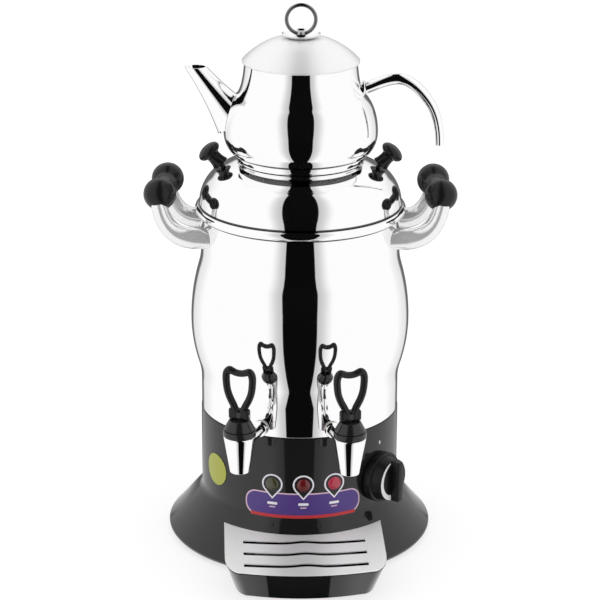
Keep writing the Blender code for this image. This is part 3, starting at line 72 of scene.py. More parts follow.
# Studio
# A white room with one tall black card behind the camera and a dim gap behind the samovar.
# Polished steel shows them as a black band down its middle and as a thin dark edge.
class Socket:
    """A number that comes out of a node and takes part in sums."""

    def __init__(self, tree, socket):
        self.tree = tree
        self.socket = socket

    def math(self, operation, *others):
        return self.tree.node("ShaderNodeMath", {"operation": operation}, dict(enumerate((self, *others))))

    def __add__(self, other):
        return self.math("ADD", other)

    def __sub__(self, other):
        return self.math("SUBTRACT", other)

    def __rsub__(self, other):
        return self.tree.node("ShaderNodeMath", {"operation": "SUBTRACT"}, {0: other, 1: self})

    def __mul__(self, other):
        return self.math("MULTIPLY", other)

    def __truediv__(self, other):
        return self.math("DIVIDE", other)

    __radd__ = __add__
    __rmul__ = __mul__

    def ease(self, low, high):
        """0 below low, 1 above high, and a smooth rise between; low may be the larger."""
        return self.tree.node(
            "ShaderNodeMapRange", {"interpolation_type": "SMOOTHSTEP"}, {"Value": self, 1: low, 2: high}
        )


class Tree:
    """The nodes of one material or of the world."""

    def __init__(self, owner):
        owner.use_nodes = True
        self.owner = owner
        self.nodes = owner.node_tree.nodes
        self.links = owner.node_tree.links

    def node(self, kind, settings=None, inputs=None, output=0):
        made = self.nodes.new(kind)
        for name, value in (settings or {}).items():
            if name == "stops":
                while len(made.color_ramp.elements) < len(value):
                    made.color_ramp.elements.new(0.5)
                for stop, (place, colour) in zip(made.color_ramp.elements, value):
                    stop.position, stop.color = place, colour
            else:
                setattr(made, name, value)
        for key, value in (inputs or {}).items():
            self.feed(made.inputs[key], value)
        return Socket(self, made.outputs[output])

    def feed(self, socket, value):
        if isinstance(value, Socket):
            self.links.new(value.socket, socket)
        else:
            socket.default_value = value

    def mix(self, factor, first, second):
        """The first colour where the factor is 0 and the second where it is 1."""
        return self.node("ShaderNodeMix", {"data_type": "RGBA"}, {0: factor, 6: first, 7: second}, 2)


WHITE = (1, 1, 1, 1)
CARD_BLACK = (0.003, 0.003, 0.003, 1)
GAP_GREY = (0.14, 0.14, 0.14, 1)
CARD_HALF_TURN = math.tan(math.radians(18))
CARD_FADE = math.tan(math.radians(36))
CARD_FADE_SHARE = 0.42
CARD_OVERHEAD_SHARE = 0.42
GAP_TURN = math.radians(28)
FLOOR_GAP_TURN = math.radians(31)
GAP_FADE = math.tan(math.radians(60))
GAP_FADE_SHARE = 0.2


def studio(tree, place, gap_turn):
    """The room's colour in a direction, or at a place on the floor, from the samovar."""
    split = tree.node("ShaderNodeSeparateXYZ", {}, {"Vector": place})
    across, along, up = (Socket(tree, split.socket.node.outputs[i]) for i in range(3))
    spread = across.math("ABSOLUTE")
    toward = ((0 - along).math("MAXIMUM", 0) + up.math("MAXIMUM", 0) * CARD_OVERHEAD_SHARE).math("MAXIMUM", 0.0001)
    behind = along.math("MAXIMUM", 0.0001)
    half = math.tan(gap_turn)
    over = (along - up * 0.3).ease(0.3, 0.12)
    card = (spread / toward).ease(CARD_HALF_TURN * 1.03, CARD_HALF_TURN * 0.97) * over
    fade = (spread / toward).ease(CARD_FADE, CARD_HALF_TURN) * over * CARD_FADE_SHARE
    gap = (spread / behind).ease(half * 1.15, half * 0.85) * up.ease(0.24, 0.12)
    dusk = (spread / behind).ease(GAP_FADE, half) * up.ease(0.5, 0.1) * GAP_FADE_SHARE
    room = tree.mix(fade.math("MAXIMUM", dusk), WHITE, CARD_BLACK)
    return tree.mix(card, tree.mix(gap, room, GAP_GREY), CARD_BLACK)


world = Tree(bpy.data.worlds.new("studio"))
bpy.context.scene.world = world.owner
direction = world.node("ShaderNodeTexCoord", output="Generated")
sheen = world.node("ShaderNodeLightPath", output="Is Glossy Ray")
background = world.nodes["Background"]
world.feed(background.inputs["Color"], world.mix(sheen, WHITE, studio(world, direction, GAP_TURN)))

FLOOR_SIZE = 14
FLOOR_GLOW = 0.7
FLOOR_SHADE = (0.36, 0.36, 0.36, 1)
FLOOR_WHITE = (0.8, 0.8, 0.8, 1)
CARD_FOOT = 95 * MM
floor_mesh = bmesh.new()
bmesh.ops.create_grid(floor_mesh, x_segments=1, y_segments=1, size=FLOOR_SIZE / 2)
floor_data = bpy.data.meshes.new("floor")
floor_mesh.to_mesh(floor_data)
floor_mesh.free()
floor = bpy.data.objects.new("floor", floor_data)
floor.location = AXIS
bpy.context.collection.objects.link(floor)
ground = Tree(bpy.data.materials.new("white_floor"))
ground.nodes.remove(ground.nodes["Principled BSDF"])
path = ground.node("ShaderNodeLightPath", output="Is Camera Ray")
sheen = Socket(ground, path.socket.node.outputs["Is Glossy Ray"])
place = ground.node("ShaderNodeTexCoord", output="Object")
place = ground.node("ShaderNodeVectorMath", {"operation": "ADD"}, {0: place, 1: (0, CARD_FOOT, 0)})
glow = ground.node("ShaderNodeEmission", {}, {"Color": WHITE, "Strength": FLOOR_GLOW})
shade = ground.node("ShaderNodeBsdfDiffuse", {}, {"Color": FLOOR_SHADE})
plain = ground.node("ShaderNodeBsdfDiffuse", {}, {"Color": FLOOR_WHITE})
lit = ground.node("ShaderNodeAddShader", {}, {0: glow, 1: shade})
mirrored = ground.node("ShaderNodeEmission", {}, {"Color": studio(ground, place, FLOOR_GAP_TURN)})
unseen = ground.node("ShaderNodeMixShader", {}, {0: sheen, 1: plain, 2: mirrored})
shown = ground.node("ShaderNodeMixShader", {}, {0: path, 1: unseen, 2: lit})
ground.links.new(shown.socket, ground.nodes["Material Output"].inputs["Surface"])
floor.data.materials.append(ground.owner)


# Boiler
# One deep-drawn stainless vessel with a swelling belly and a rolled rim.
# It is spun and polished to a mirror, and stands in the top of the base.
class Finish(Tree):
    """A material with one Principled shader; set() takes a plain value or a pattern."""

    def __init__(self, name, **values):
        super().__init__(bpy.data.materials.new(name))
        self.shader = self.nodes["Principled BSDF"]
        self.place = self.node("ShaderNodeTexCoord", output="Object")
        self.set(**values)

    def set(self, **values):
        for name, value in values.items():
            self.feed(self.shader.inputs[name.replace("_", " ").title()], value)

    def noise(self, scale, detail=2.0, roughness=0.5, stretch=None):
        """Soft noise about 0.5; stretch multiplies the pattern's density along X, Y and Z."""
        place = self.place
        if stretch:
            place = self.node("ShaderNodeMapping", {}, {"Vector": place, "Scale": stretch})
        return self.node(
            "ShaderNodeTexNoise", {}, {"Vector": place, "Scale": scale, "Detail": detail, "Roughness": roughness}
        )

    def bump(self, height, depth, strength=1.0):
        values = {"Height": height, "Distance": depth, "Strength": strength}
        self.set(Normal=self.node("ShaderNodeBump", {}, values))


STEEL = (0.98, 0.98, 0.985, 1)
# Thin dark grey bands are painted into the steel's colour at three heights: painted shade in the joins under the
# boiler's rolled rim, where the lid sits on the rim, and where the teapot stands in its collar.
JOIN_SHADE_GREY = (0.1, 0.1, 0.1, 1)
PAINTED_JOIN_SHADES = ((370.7, 2.6), (381.7, 1.8), (438.9, 2.4))
polished = Finish("polished_steel", Base_Color=STEEL, Metallic=1.0)
polished.set(Roughness=polished.noise(26, 3) * 0.03 + 0.02)
polished.bump(polished.noise(1, 2, stretch=(14, 14, 420)), 0.00002, 0.25)
height = polished.node("ShaderNodeSeparateXYZ", {}, {"Vector": polished.place}, 2) / MM
join_shade = sum((height - place).math("ABSOLUTE").ease(0.5 * wide + 0.4, 0.5 * wide) for place, wide in PAINTED_JOIN_SHADES)
polished.set(Base_Color=polished.mix(join_shade.math("MINIMUM", 1), STEEL, JOIN_SHADE_GREY))


def matte(thing, angle=math.radians(32)):
    thing.data.shade_smooth()
    thing.data.set_sharp_from_angle(angle=angle)
    return thing


def settle(name, form, finish, body, nodes, place=Matrix()):
    """Make a finished piece of a bmesh: closed, facing outwards, at its place and on its body."""
    bmesh.ops.remove_doubles(form, verts=form.verts, dist=1e-6)
    bmesh.ops.recalc_face_normals(form, faces=form.faces)
    form.transform(place)
    if place.determinant() < 0:
        bmesh.ops.reverse_faces(form, faces=form.faces)
    mesh = bpy.data.meshes.new(name)
    form.to_mesh(mesh)
    form.free()
    thing = bpy.data.objects.new(name, mesh)
    bpy.context.collection.objects.link(thing)
    mesh.materials.append(finish.owner)
    if body:
        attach(thing, body)
        if nodes:
            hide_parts(*nodes)
    return matte(thing)


def spun(outline, sides=128):
    """Spin an outline of (radius, height) points in millimetres round the Z axis."""
    form = bmesh.new()
    points = [form.verts.new((r * MM, 0, z * MM)) for r, z in outline]
    edges = [form.edges.new(pair) for pair in zip(points, points[1:])]
    if outline[0][0] > 0 or outline[-1][0] > 0:
        edges.append(form.edges.new((points[-1], points[0])))
    bmesh.ops.spin(form, geom=points + edges, cent=(0, 0, 0), axis=(0, 0, 1), angle=math.tau, steps=sides,
                   use_merge=True, use_duplicate=False)
    return form


def arc(centre, across, along, start, stop, steps):
    """Points on an elliptic arc between two angles in degrees."""
    turns = [math.radians(start + (stop - start) * i / steps) for i in range(steps + 1)]
    return [(centre[0] + across * math.cos(t), centre[1] + along * math.sin(t)) for t in turns]


def swoop(first, pull, last, steps):
    """Points on a curve from the first to the last, drawn toward the pull point."""
    shares = [i / steps for i in range(steps + 1)]
    return [tuple((1 - t) ** 2 * a + 2 * t * (1 - t) * b + t * t * c for a, b, c in zip(first, pull, last))
            for t in shares]


BOILER_WALL = 1.2
NECK_R = 108.4
LOWER_R = 108.9
BELLY_R = 119.8
BELLY_Z = 251
UPPER_BEND = 220.6
LOWER_BEND = 159.8
STANDING = Matrix.Translation(AXIS)


def belly(height, wall):
    bend = UPPER_BEND if height > BELLY_Z else LOWER_BEND
    return (BELLY_R - wall - bend + math.sqrt(bend ** 2 - (height - BELLY_Z) ** 2), height)


def boiler_side(wall, top):
    """The wall from its top down to its step, moved in by the wall's thickness."""
    side = [(NECK_R - wall, top), (NECK_R - wall, 330)]
    side += swoop((NECK_R - wall, 330), (NECK_R - wall, 321.5), belly(312, wall), 8)[1:]
    side += [belly(312 - 3.4 * i, wall) for i in range(1, 33)]
    side += swoop(side[-1], (LOWER_R - wall, 191.7), (LOWER_R - wall, 182), 8)[1:]
    return side


foot = 105.3
outside = arc((109.5, 376), 5, 5, 150, -95, 20) + boiler_side(0, 369)
outside += swoop((LOWER_R, 149.6), (LOWER_R, 148.2), (LOWER_R - 1.4, 148.2), 4)
outside += [(foot, 148.2)] + arc((foot - 7, 142.5), 7, 7, 0, -90, 8) + [(0, 135.5)]
inside = [(0, 136.7)] + arc((foot - 7, 142.5), 5.8, 5.8, -90, 0, 8) + [(foot - BOILER_WALL, 149.4)]
inside += [(LOWER_R - BOILER_WALL, 149.4)] + boiler_side(BOILER_WALL, 374)[::-1]
settle("boiler", spun(outside + inside, 160), polished, "boiler", ["boiler_shell"], STANDING)

# Heating element
# A tubular steel heater that rings the bottom of the boiler, with both legs through its floor.
satin = Finish("satin_steel", Base_Color=(0.72, 0.72, 0.73, 1), Metallic=1.0)
satin.set(Roughness=satin.noise(60, 3) * 0.16 + 0.22)
satin.bump(satin.noise(900, 2), 0.00002, 0.4)


def dress(node, finish):
    """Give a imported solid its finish."""
    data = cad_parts[node].data
    data.materials.clear()
    data.materials.append(finish.owner)


dress("heating_element", satin)

# Side handles
# Two chromed steel arms a side, screwed to the neck and bent up into a black grip.
# The grip is one bakelite moulding, two balls on a waist, and each arm ends in a ball.
ARM_Y = 38
GRIP_TOE = 2.6
GRIP_BALL = 17.6


def tube(points, radii, sides=32, closed=False):
    """A round tube of changing radius along points in millimetres."""
    curve = bpy.data.curves.new("tube", "CURVE")
    curve.dimensions = "3D"
    curve.bevel_depth = MM
    curve.bevel_resolution = (sides - 4) // 2
    curve.use_fill_caps = not closed
    spline = curve.splines.new("POLY")
    spline.points.add(len(points) - 1)
    for point, place, radius in zip(spline.points, points, radii):
        point.co = (*(Vector(place) * MM), 1)
        point.radius = radius
    spline.use_cyclic_u = closed
    holder = bpy.data.objects.new("tube", curve)
    bpy.context.collection.objects.link(holder)
    mesh = bpy.data.meshes.new_from_object(holder.evaluated_get(bpy.context.evaluated_depsgraph_get()))
    form = bmesh.new()
    form.from_mesh(mesh)
    bpy.data.objects.remove(holder, do_unlink=True)
    bpy.data.curves.remove(curve)
    bpy.data.meshes.remove(mesh)
    return form


chrome = Finish("chromed_steel", Base_Color=STEEL, Metallic=1.0)
chrome.set(Roughness=chrome.noise(40, 3) * 0.03 + 0.03)
arm_steel = Finish("soft_chrome", Base_Color=(0.96, 0.96, 0.965, 1), Metallic=0.55)
arm_steel.set(Roughness=arm_steel.noise(40, 3) * 0.05 + 0.12)
bakelite = Finish("black_bakelite", Base_Color=(0.008, 0.008, 0.008, 1))
bakelite.feed(bakelite.shader.inputs["Specular IOR Level"], 0.3)
bakelite.set(Roughness=bakelite.noise(70, 4) * 0.12 + 0.2)
bakelite.bump(bakelite.noise(1400, 2), 0.00003, 0.35)

for side, sign in (("left", -1), ("right", 1)):
    for end, way in (("front", -1), ("rear", 1)):
        toe = -way * GRIP_TOE
        root = math.sqrt(NECK_R ** 2 - ARM_Y ** 2)
        route = [(root - 11, 351.5), (root + 1, 351.5)]
        route += swoop((115, 351.5), (143 + toe, 353), (149 + toe, 391), 22)
        bend = len(route) - 3
        radii = [11.5] * 3 + [11.5 - 3 * i / bend for i in range(1, bend + 1)]
        points = [(sign * x, way * ARM_Y, z) for x, z in route]
        settle("arm_%s_%s" % (side, end), tube(points, radii), arm_steel, "boiler",
               ["handle_arm_%s_%s" % (side, end)], STANDING)
    waist = math.degrees(math.asin(10 / GRIP_BALL))
    ball = arc((0, 30), GRIP_BALL, GRIP_BALL, -90 + waist, 90, 18)
    ball = swoop((10, 10), (10, 14), ball[1], 5) + ball[2:-1] + [(0, 30 + GRIP_BALL)]
    outline = [(r, -z) for r, z in ball[::-1]] + ball
    turn = sign * math.atan2(GRIP_TOE, 30)
    place = (STANDING @ Matrix.Translation((sign * 148 * MM, 0, 398.5 * MM)) @ Matrix.Rotation(turn, 4, "Z")
             @ Matrix.Rotation(math.pi / 2, 4, "X"))
    settle("grip_" + side, spun(outline, 64), bakelite, "boiler", ["handle_grip_" + side], place)

# Samovar lid
# A spun steel dome that sits on the boiler's rim, with a collar on top for the teapot.
LID_CENTRE = (67.8, 382.5)
lid_top = (67, 429.5)
shoulder = arc(LID_CENTRE, 42, 42, 0, 64, 20)
inner_shoulder = arc(LID_CENTRE, 40.8, 40.8, 0, 64, 16)
outline = [(48, 429.5)] + swoop((65, 429.5), lid_top, (70, 428.4), 4) + shoulder[::-1]
outline += [(109.8, 381.3), (105.6, 381.3), (105.6, 373.3), (104.4, 373.3), (104.4, 382.5)] + inner_shoulder
outline += [(67, 428.3), (48, 428.3)]
settle("lid", spun(outline, 160), polished, "samovar_lid", ["samovar_lid"], STANDING)
collar = [(70.5, 436.8)] + arc((69.7, 436.8), 0.8, 0.8, 0, 90, 3) + [(68.5, 437.6)]
collar += swoop((68.5, 437.6), (68, 432), (63.7, 431.3), 6) + [(63.7, 429.8), (66.7, 429.8)]
collar += swoop((66.7, 429.8), (70.5, 430.4), (70.5, 433.5), 6)[1:]
settle("collar", spun(collar, 128), polished, "samovar_lid", ["lid_collar"], STANDING)

# Lid knobs
# Bakelite mushrooms that lean outward, so that the lid can be lifted round the teapot.
KNOB_TILT = math.radians(42)
KNOB_SEAT_R = 84
KNOB_SEAT_Z = 421.5
stem = [(0, -9), (2.5, -9), (2.5, 3), (8.6, 3), (9.2, 3.5)] + swoop((9.2, 4.4), (7.3, 7), (7.3, 14.8), 8)
cap = arc((0, 22), 13, 7, -54, 90, 18)
cap[-1] = (0, 29)
for side, sign in (("left", -1), ("right", 1)):
    place = (STANDING @ Matrix.Translation((sign * KNOB_SEAT_R * MM, 0, KNOB_SEAT_Z * MM))
             @ Matrix.Rotation(sign * KNOB_TILT, 4, "Y"))
    settle("lid_button_" + side, spun(stem + cap, 64), bakelite, "samovar_lid", ["lid_knob_" + side], place)

# Teapot
# A spun steel pot whose foot drops into the collar, with a pierced strainer behind the spout.
POT_WALL = 1.2


def pot_side(shrink, top):
    side = arc((59, 461), 24 - shrink, 28, math.degrees(math.asin((437.9 + shrink - 461) / 28)), 0, 14)
    side += arc((59, 461), 24 - shrink, 44, 0, math.degrees(math.asin(39 / 44)), 18)[1:]
    start, neck = side[-1], 60.6 - shrink
    pull = (neck + 0.2 * (start[0] - neck), 500 + 0.8 * (start[0] - neck))
    return side + swoop(start, pull, (neck, top), 10)[1:]


outline = [(0, 437.9)] + pot_side(0, 536.4) + pot_side(POT_WALL, 536.4)[::-1] + [(0, 439.1)]
settle("pot", spun(outline, 160), polished, "teapot", ["teapot_body"], STANDING)


# Teapot spout
# A rolled steel cone, welded on over the strainer and cut level at its mouth.
def carve(thing, *cutters):
    """Cut meshes out of a piece and keep the result as its own mesh."""
    for cutter in cutters:
        step = thing.modifiers.new("cut", "BOOLEAN")
        step.operation = "DIFFERENCE"
        step.solver = "EXACT"
        step.object = cutter
    bpy.context.view_layer.update()
    mesh = bpy.data.meshes.new_from_object(thing.evaluated_get(bpy.context.evaluated_depsgraph_get()))
    thing.modifiers.clear()
    old, thing.data = thing.data, mesh
    name = old.name
    bpy.data.meshes.remove(old)
    mesh.name = name
    for cutter in cutters:
        bpy.data.objects.remove(cutter, do_unlink=True)
    return matte(thing)


def tool(form, place=Matrix()):
    """A shape that only cuts others."""
    return settle("tool", form, polished, None, None, place)


def block(low, high):
    """A plain box between two corners in millimetres."""
    form = bmesh.new()
    size = Vector(high) - Vector(low)
    middle = (Vector(high) + Vector(low)) / 2
    bmesh.ops.create_cube(form, size=MM, matrix=Matrix.Translation(middle * MM) @ Matrix.Diagonal((*size, 1)))
    return form


root, tip = Vector((-70, 0, 473)), Vector((-119, 0, 539))
run = tip - root
lean = math.atan2(run.x, run.z)
at_spout = STANDING @ Matrix.Translation(root * MM) @ Matrix.Rotation(lean, 4, "Y")


def spout_cone(shrink, beyond):
    """The spout's flowing side from its root to its tip, moved in by shrink."""
    root_r, tip_r = 23.5 - shrink, 8.8 - shrink
    side = swoop((root_r, 0), (tip_r + 0.17 * (root_r - tip_r), run.length * 0.48), (tip_r, run.length), 20)
    return [(0, -beyond), (root_r, -beyond)] + side + [(tip_r, run.length + beyond), (0, run.length + beyond)]


spout = settle("spout", spun(spout_cone(0, 0.01), 72), chrome, "teapot", ["teapot_spout"], at_spout)
pot_space = [(0, 430)] + [(r + 0.2, z) for r, z in pot_side(0, 536.4)] + [(60.6, 545), (0, 545)]
carve(spout, tool(spun(pot_space, 128), STANDING), tool(spun(spout_cone(POT_WALL, 3), 72), at_spout),
      tool(block((-170, -80, 531), (0, 80, 600)), STANDING))

# Teapot handle
# A bent steel tube that tapers to its free end, on a small plate welded to the pot's shoulder.
route = swoop((61, 505), (68, 508), (75, 510.6), 4) + swoop((75, 510.6), (92, 518.5), (103, 518.8), 6)[1:]
route += swoop((103, 518.8), (119, 519), (136, 496), 12)[1:]
route += swoop((136, 496), (149.5, 478), (149.5, 446), 12)[1:]
count = len(route) - 1
radii = [6.2 - 2 * (i / count) ** 2 for i in range(count + 1)]
handle = settle("pot_handle", tube([(x, 0, z) for x, z in route], radii, 32), chrome, "teapot", ["teapot_handle"],
                STANDING)
carve(handle, tool(spun(pot_space, 128), STANDING),
      tool(tube([(x, 0, z) for x, z in route[-8:]] + [(149.5, 0, 440)], [r * 0.72 for r in radii[-8:]] + [3], 24),
           STANDING))
plate = [(0, 0), (9.4, 0)] + arc((8.6, 1.4), 0.8, 0.8, 0, 90, 3) + [(6.9, 3), (0, 3)]
boss = settle("handle_plate", spun(plate, 48), chrome, "teapot", None,
              STANDING @ Matrix.Translation((66 * MM, 0, 507.5 * MM)) @ Matrix.Rotation(math.pi / 2, 4, "Y"))
carve(boss, tool(spun(pot_space, 128), STANDING))

# Teapot lid
# A shallow steel dome with a rolled edge and a plug that keeps it on the pot.
CAP_R = 84.5
CAP_Z = 482.6
dome = arc((0, CAP_Z), CAP_R, CAP_R, math.degrees(math.acos(63 / CAP_R)), math.degrees(math.acos(24 / CAP_R)), 24)
drop = (dome[-1][1] - 563) / (dome[-1][1] - dome[0][1])
dome = [(r, z - drop * (z - dome[0][1])) for r, z in dome]
under = [(r - 1.1, z - 1.2) for r, z in dome]
outline = [(2.8, 563)] + swoop((19, 563), (22.5, 563), dome[-2], 5) + dome[-3::-1]
outline += [(63, 537.4), (62.4, 536.7), (58, 536.7), (58, 528.7), (56.8, 528.7), (56.8, 537.9)] + under[2:]
outline += [(2.8, 561.8)]
lid_steel = Finish("satin_lid_steel", Base_Color=(0.95, 0.95, 0.955, 1), Metallic=0.5)
lid_steel.set(Roughness=lid_steel.noise(30, 3) * 0.06 + 0.33)
settle("pot_lid", spun(outline, 160), lid_steel, "teapot_lid", ["teapot_lid"], STANDING)

# Ring knob
# A dark steel ring in a steel bush with a black foot, on a shallow dish bolted through the lid.
dish = [(2.8, 564.3), (12.4, 564.3)] + swoop((12.4, 564.3), (17, 564.6), (19.9, 568), 8)[1:]
dish += [(20.3, 568.3), (20.5, 568)] + swoop((20.5, 567.6), (17.6, 563.5), (12.6, 563.3), 8) + [(2.8, 563.3)]
settle("ring_dish", spun(dish, 96), chrome, "teapot_lid", ["knob_dish"], STANDING)
ring = [(15.5 * math.cos(t), 0, 582.5 + 15.5 * math.sin(t)) for t in (math.tau * i / 72 for i in range(72))]
dark_steel = Finish("dark_steel", Base_Color=(0.22, 0.22, 0.225, 1), Metallic=1.0)
dark_steel.set(Roughness=dark_steel.noise(60, 3) * 0.06 + 0.12)
settle("ring", tube(ring, [2] * 72, 20, True), dark_steel, "teapot_lid", ["knob_ring"], STANDING)
bush = [(0, 569.8), (3.4, 569.8)] + arc((3.6, 568.8), 1, 1, 90, 0, 4) + [(4.8, 564.6), (2.5, 564.6), (2.5, 555.6)]
bushing = Finish("steel_bush", Metallic=1.0)
bushing.set(Roughness=bushing.noise(60, 3) * 0.1 + 0.25)
height = bushing.node("ShaderNodeSeparateXYZ", {}, {"Vector": bushing.place}, 2) / MM
bushing.set(Base_Color=bushing.mix(height.ease(567.2, 566.4), (0.6, 0.6, 0.61, 1), (0.01, 0.01, 0.01, 1)))
settle("ring_bush", spun(bush + [(0, 555.6)], 40), bushing, "teapot_lid", ["knob_bush"], STANDING)
brass = Finish("brass", Base_Color=(0.75, 0.56, 0.26, 1), Metallic=1.0)
brass.set(Roughness=brass.noise(80, 3) * 0.15 + 0.22)
dress("knob_nut", brass)

# Base housing
# A heat-proof black moulding: an upright column on a wide sloping skirt.
# The lamps, the thermostat and the supply inlet are pressed into its walls.
TAP_TURNS = {"left": math.radians(-22.3), "right": math.radians(18.7)}
FRONT_TURN = math.radians(2.4)
at_front = STANDING @ Matrix.Rotation(FRONT_TURN, 4, "Z")


def outward(turn, radius, height, start=STANDING):
    """A place on the column whose Z axis points out of it, turned from the front toward +X."""
    return (start @ Matrix.Rotation(turn, 4, "Z") @ Matrix.Translation((0, -radius * MM, height * MM))
            @ Matrix.Rotation(math.pi / 2, 4, "X"))


moulding = Finish("black_moulding", Base_Color=(0.012, 0.012, 0.0125, 1))
moulding.set(Roughness=moulding.noise(18, 4) * 0.06 + 0.05)
moulding.bump(moulding.noise(900, 3), 0.00002, 0.3)
skirt = [(109.5, 147.2)] + [(109.5, 58)] + swoop((109.5, 58), (109.7, 52.8), (113.6, 48.6), 8)[1:]
skirt += [(120.4, 40.6), (133.9, 24.8), (146, 10.6)] + arc((145.9, 8.2), 1.5, 2.2, 60, -50, 6) + [(145.6, 4.5)]
skirt += [(142.6, 4.5), (142.6, 7.4), (141.5, 9.6), (107.2, 51), (106.5, 56), (106.5, 147.2)]
skirt += arc((107.2, 147.2), 0.7, 0.7, 180, 90, 3) + arc((108.8, 147.2), 0.7, 0.7, 90, 0, 3)[:-1]
settle("base", spun(skirt, 160), moulding, "boiler", None, STANDING)
shelf = [(106.45, 135.2), (94.5, 135.2), (94.5, 132.2), (106.45, 120.2)]
settle("base_shelf", spun(shelf, 96), moulding, "boiler", ["base_housing"], STANDING)
dress("bottom_cover", moulding)
rubber = Finish("black_rubber", Base_Color=(0.03, 0.03, 0.03, 1))
rubber.set(Roughness=rubber.noise(200, 3) * 0.2 + 0.65)
for node in ("foot_front_left", "foot_front_right", "foot_rear_left", "foot_rear_right"):
    dress(node, rubber)
dress("clamp_stud", brass)
dress("clamp_nut", brass)

# Thermostat
# The knob turns the shaft of a capillary thermostat inside the column.
# It is a bakelite drum with a high grip, and a white wedge on it shows how hot it is set.
def stacked(layers):
    """A closed solid through matching outlines, each with its height, in millimetres."""
    form = bmesh.new()
    rings = [[form.verts.new((x * MM, y * MM, z * MM)) for x, y in edge] for edge, z in layers]
    loops = [[form.edges.new(pair) for pair in zip(ring, ring[1:] + ring[:1])] for ring in rings]
    for low, high in zip(loops, loops[1:]):
        bmesh.ops.bridge_loops(form, edges=low + high)
    for end in (rings[0], rings[-1]):
        form.faces.new(end)
    return form


KNOB_TURN = math.radians(49.6)
at_knob = outward(KNOB_TURN, 110, 88, at_front)
drum = [(3.8, 0), (27.4, 0)] + arc((27, 1), 1, 1, -70, 0, 3) + [(28, 8.2)] + arc((27.2, 8.2), 0.8, 0.8, 0, 90, 3)
drum += swoop((25.2, 9.3), (23.6, 15), (23.2, 19.4), 6)
drum += arc((21.6, 19.4), 1.6, 1.6, 0, 90, 5) + [(0, 21), (0, 9.5), (3.8, 9.5)]
knob_black = Finish("knob_black", Base_Color=(0.006, 0.006, 0.006, 1))
knob_black.feed(knob_black.shader.inputs["Specular IOR Level"], 0.25)
knob_black.set(Roughness=knob_black.noise(70, 4) * 0.1 + 0.3)
settle("knob", spun(drum, 96), knob_black, "thermostat_knob", ["thermostat_knob"], at_knob)
grip = block((-4.5, -23, 17), (4.5, 23, 31))
bmesh.ops.bevel(grip, geom=grip.edges, offset=1.6 * MM, segments=4, profile=0.5, affect="EDGES", material=-1)
settle("knob_grip", grip, knob_black, "thermostat_knob", None, at_knob)
WEDGE_STEPS = 40
wedge = arc((0, 0), 22.6, 22.6, 106, 312, WEDGE_STEPS)
shares = [0.96 - 0.26 * (1 - i / WEDGE_STEPS) ** 0.6 for i in range(WEDGE_STEPS + 1)]
wedge += [(x * share, y * share) for (x, y), share in zip(wedge[::-1], shares)]
white_print = Finish("white_print", Base_Color=(0.85, 0.85, 0.85, 1))
white_print.set(Roughness=white_print.noise(120, 2) * 0.1 + 0.35)
settle("knob_wedge", stacked([(wedge, 20.2), (wedge, 21.12)]), white_print, "thermostat_knob", None, at_knob)
dress("thermostat_shaft", satin)
ceramic = Finish("white_ceramic", Base_Color=(0.8, 0.79, 0.75, 1))
ceramic.set(Roughness=ceramic.noise(90, 3) * 0.2 + 0.45)
dress("thermostat", ceramic)
dress("terminal_block", ceramic)


# Front label
# A purple film round the front of the column, edged in pale pink with a red foot.
# Three drop-shaped rings on it frame the lamps, over short pale bars.
def sticker(name, shape, lift, thick, turn, finish, strips=40):
    """Cut a flat shape (mm round the column, height) from film and wrap it on the column."""
    form = bmesh.new()
    face = form.faces.new([form.verts.new((x * MM, 0, z * MM)) for x, z in shape])
    low, high = min(x for x, z in shape), max(x for x, z in shape)
    for i in range(1, strips):
        place = low + (high - low) * i / strips
        geometry = form.verts[:] + form.edges[:] + form.faces[:]
        bmesh.ops.bisect_plane(form, geom=geometry, dist=1e-7, plane_co=(place * MM, 0, 0), plane_no=(1, 0, 0))
    made = bmesh.ops.extrude_face_region(form, geom=form.faces[:])
    front = [v for v in made["geom"] if isinstance(v, bmesh.types.BMVert)]
    bmesh.ops.translate(form, vec=(0, -thick * MM, 0), verts=front)
    for vert in form.verts:
        radius = (COLUMN_R + lift) * MM - vert.co.y
        angle = vert.co.x / (COLUMN_R * MM)
        vert.co = (radius * math.sin(angle), -radius * math.cos(angle), vert.co.z)
    return settle(name, form, finish, "boiler", None, at_front @ Matrix.Rotation(turn, 4, "Z"))


def rounded(half, low, high, corner, steps=8):
    """A round-cornered bar, as wide as twice half."""
    points = []
    for centre, start in (((half - corner, low + corner), -90), ((half - corner, high - corner), 0),
                          ((corner - half, high - corner), 90), ((corner - half, low + corner), 180)):
        points += arc(centre, corner, corner, start, start + 90, steps)
    return points


COLUMN_R = 109.5


def film(name, colour, roughness=0.3):
    made = Finish(name)
    tint = made.noise(120, 2) * 0.1
    darker = tuple(c * 0.8 for c in colour[:3]) + (1,)
    made.set(Base_Color=made.mix(tint, colour, darker), Roughness=made.noise(60, 2) * 0.1 + (roughness - 0.05))
    return made


purple = film("purple_film", (0.075, 0.035, 0.22, 1))
pink = film("pink_edge", (0.72, 0.5, 0.62, 1))
red = film("red_edge", (0.55, 0.03, 0.035, 1))
pale = film("pale_print", (0.85, 0.82, 0.88, 1))
half = math.radians(34.4) * COLUMN_R
edge = sticker("label_edge", rounded(half, 55.3, 84.5, 13), 0.3, 0.35, 0, pink)
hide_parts("control_label")
sticker("label_film", rounded(half - 1.6, 57.2, 83, 11.6), 0.6, 0.12, 0, purple)
sticker("label_foot", rounded(half - 6, 54.9, 58.6, 1.8), 0.62, 0.14, 0, red)

# Lamps
# Three neon lamps with coloured domed lenses, pressed into the column over the label.
LAMP_PITCH = math.radians(17.8)


def drop_shape(radius, tip):
    """A round ring's outline that runs down to a point."""
    touch = math.degrees(math.acos(radius / tip))
    return arc((0, 94.5), radius, radius, -90 + touch, 270 - touch, 28) + [(0, 94.5 - tip)]


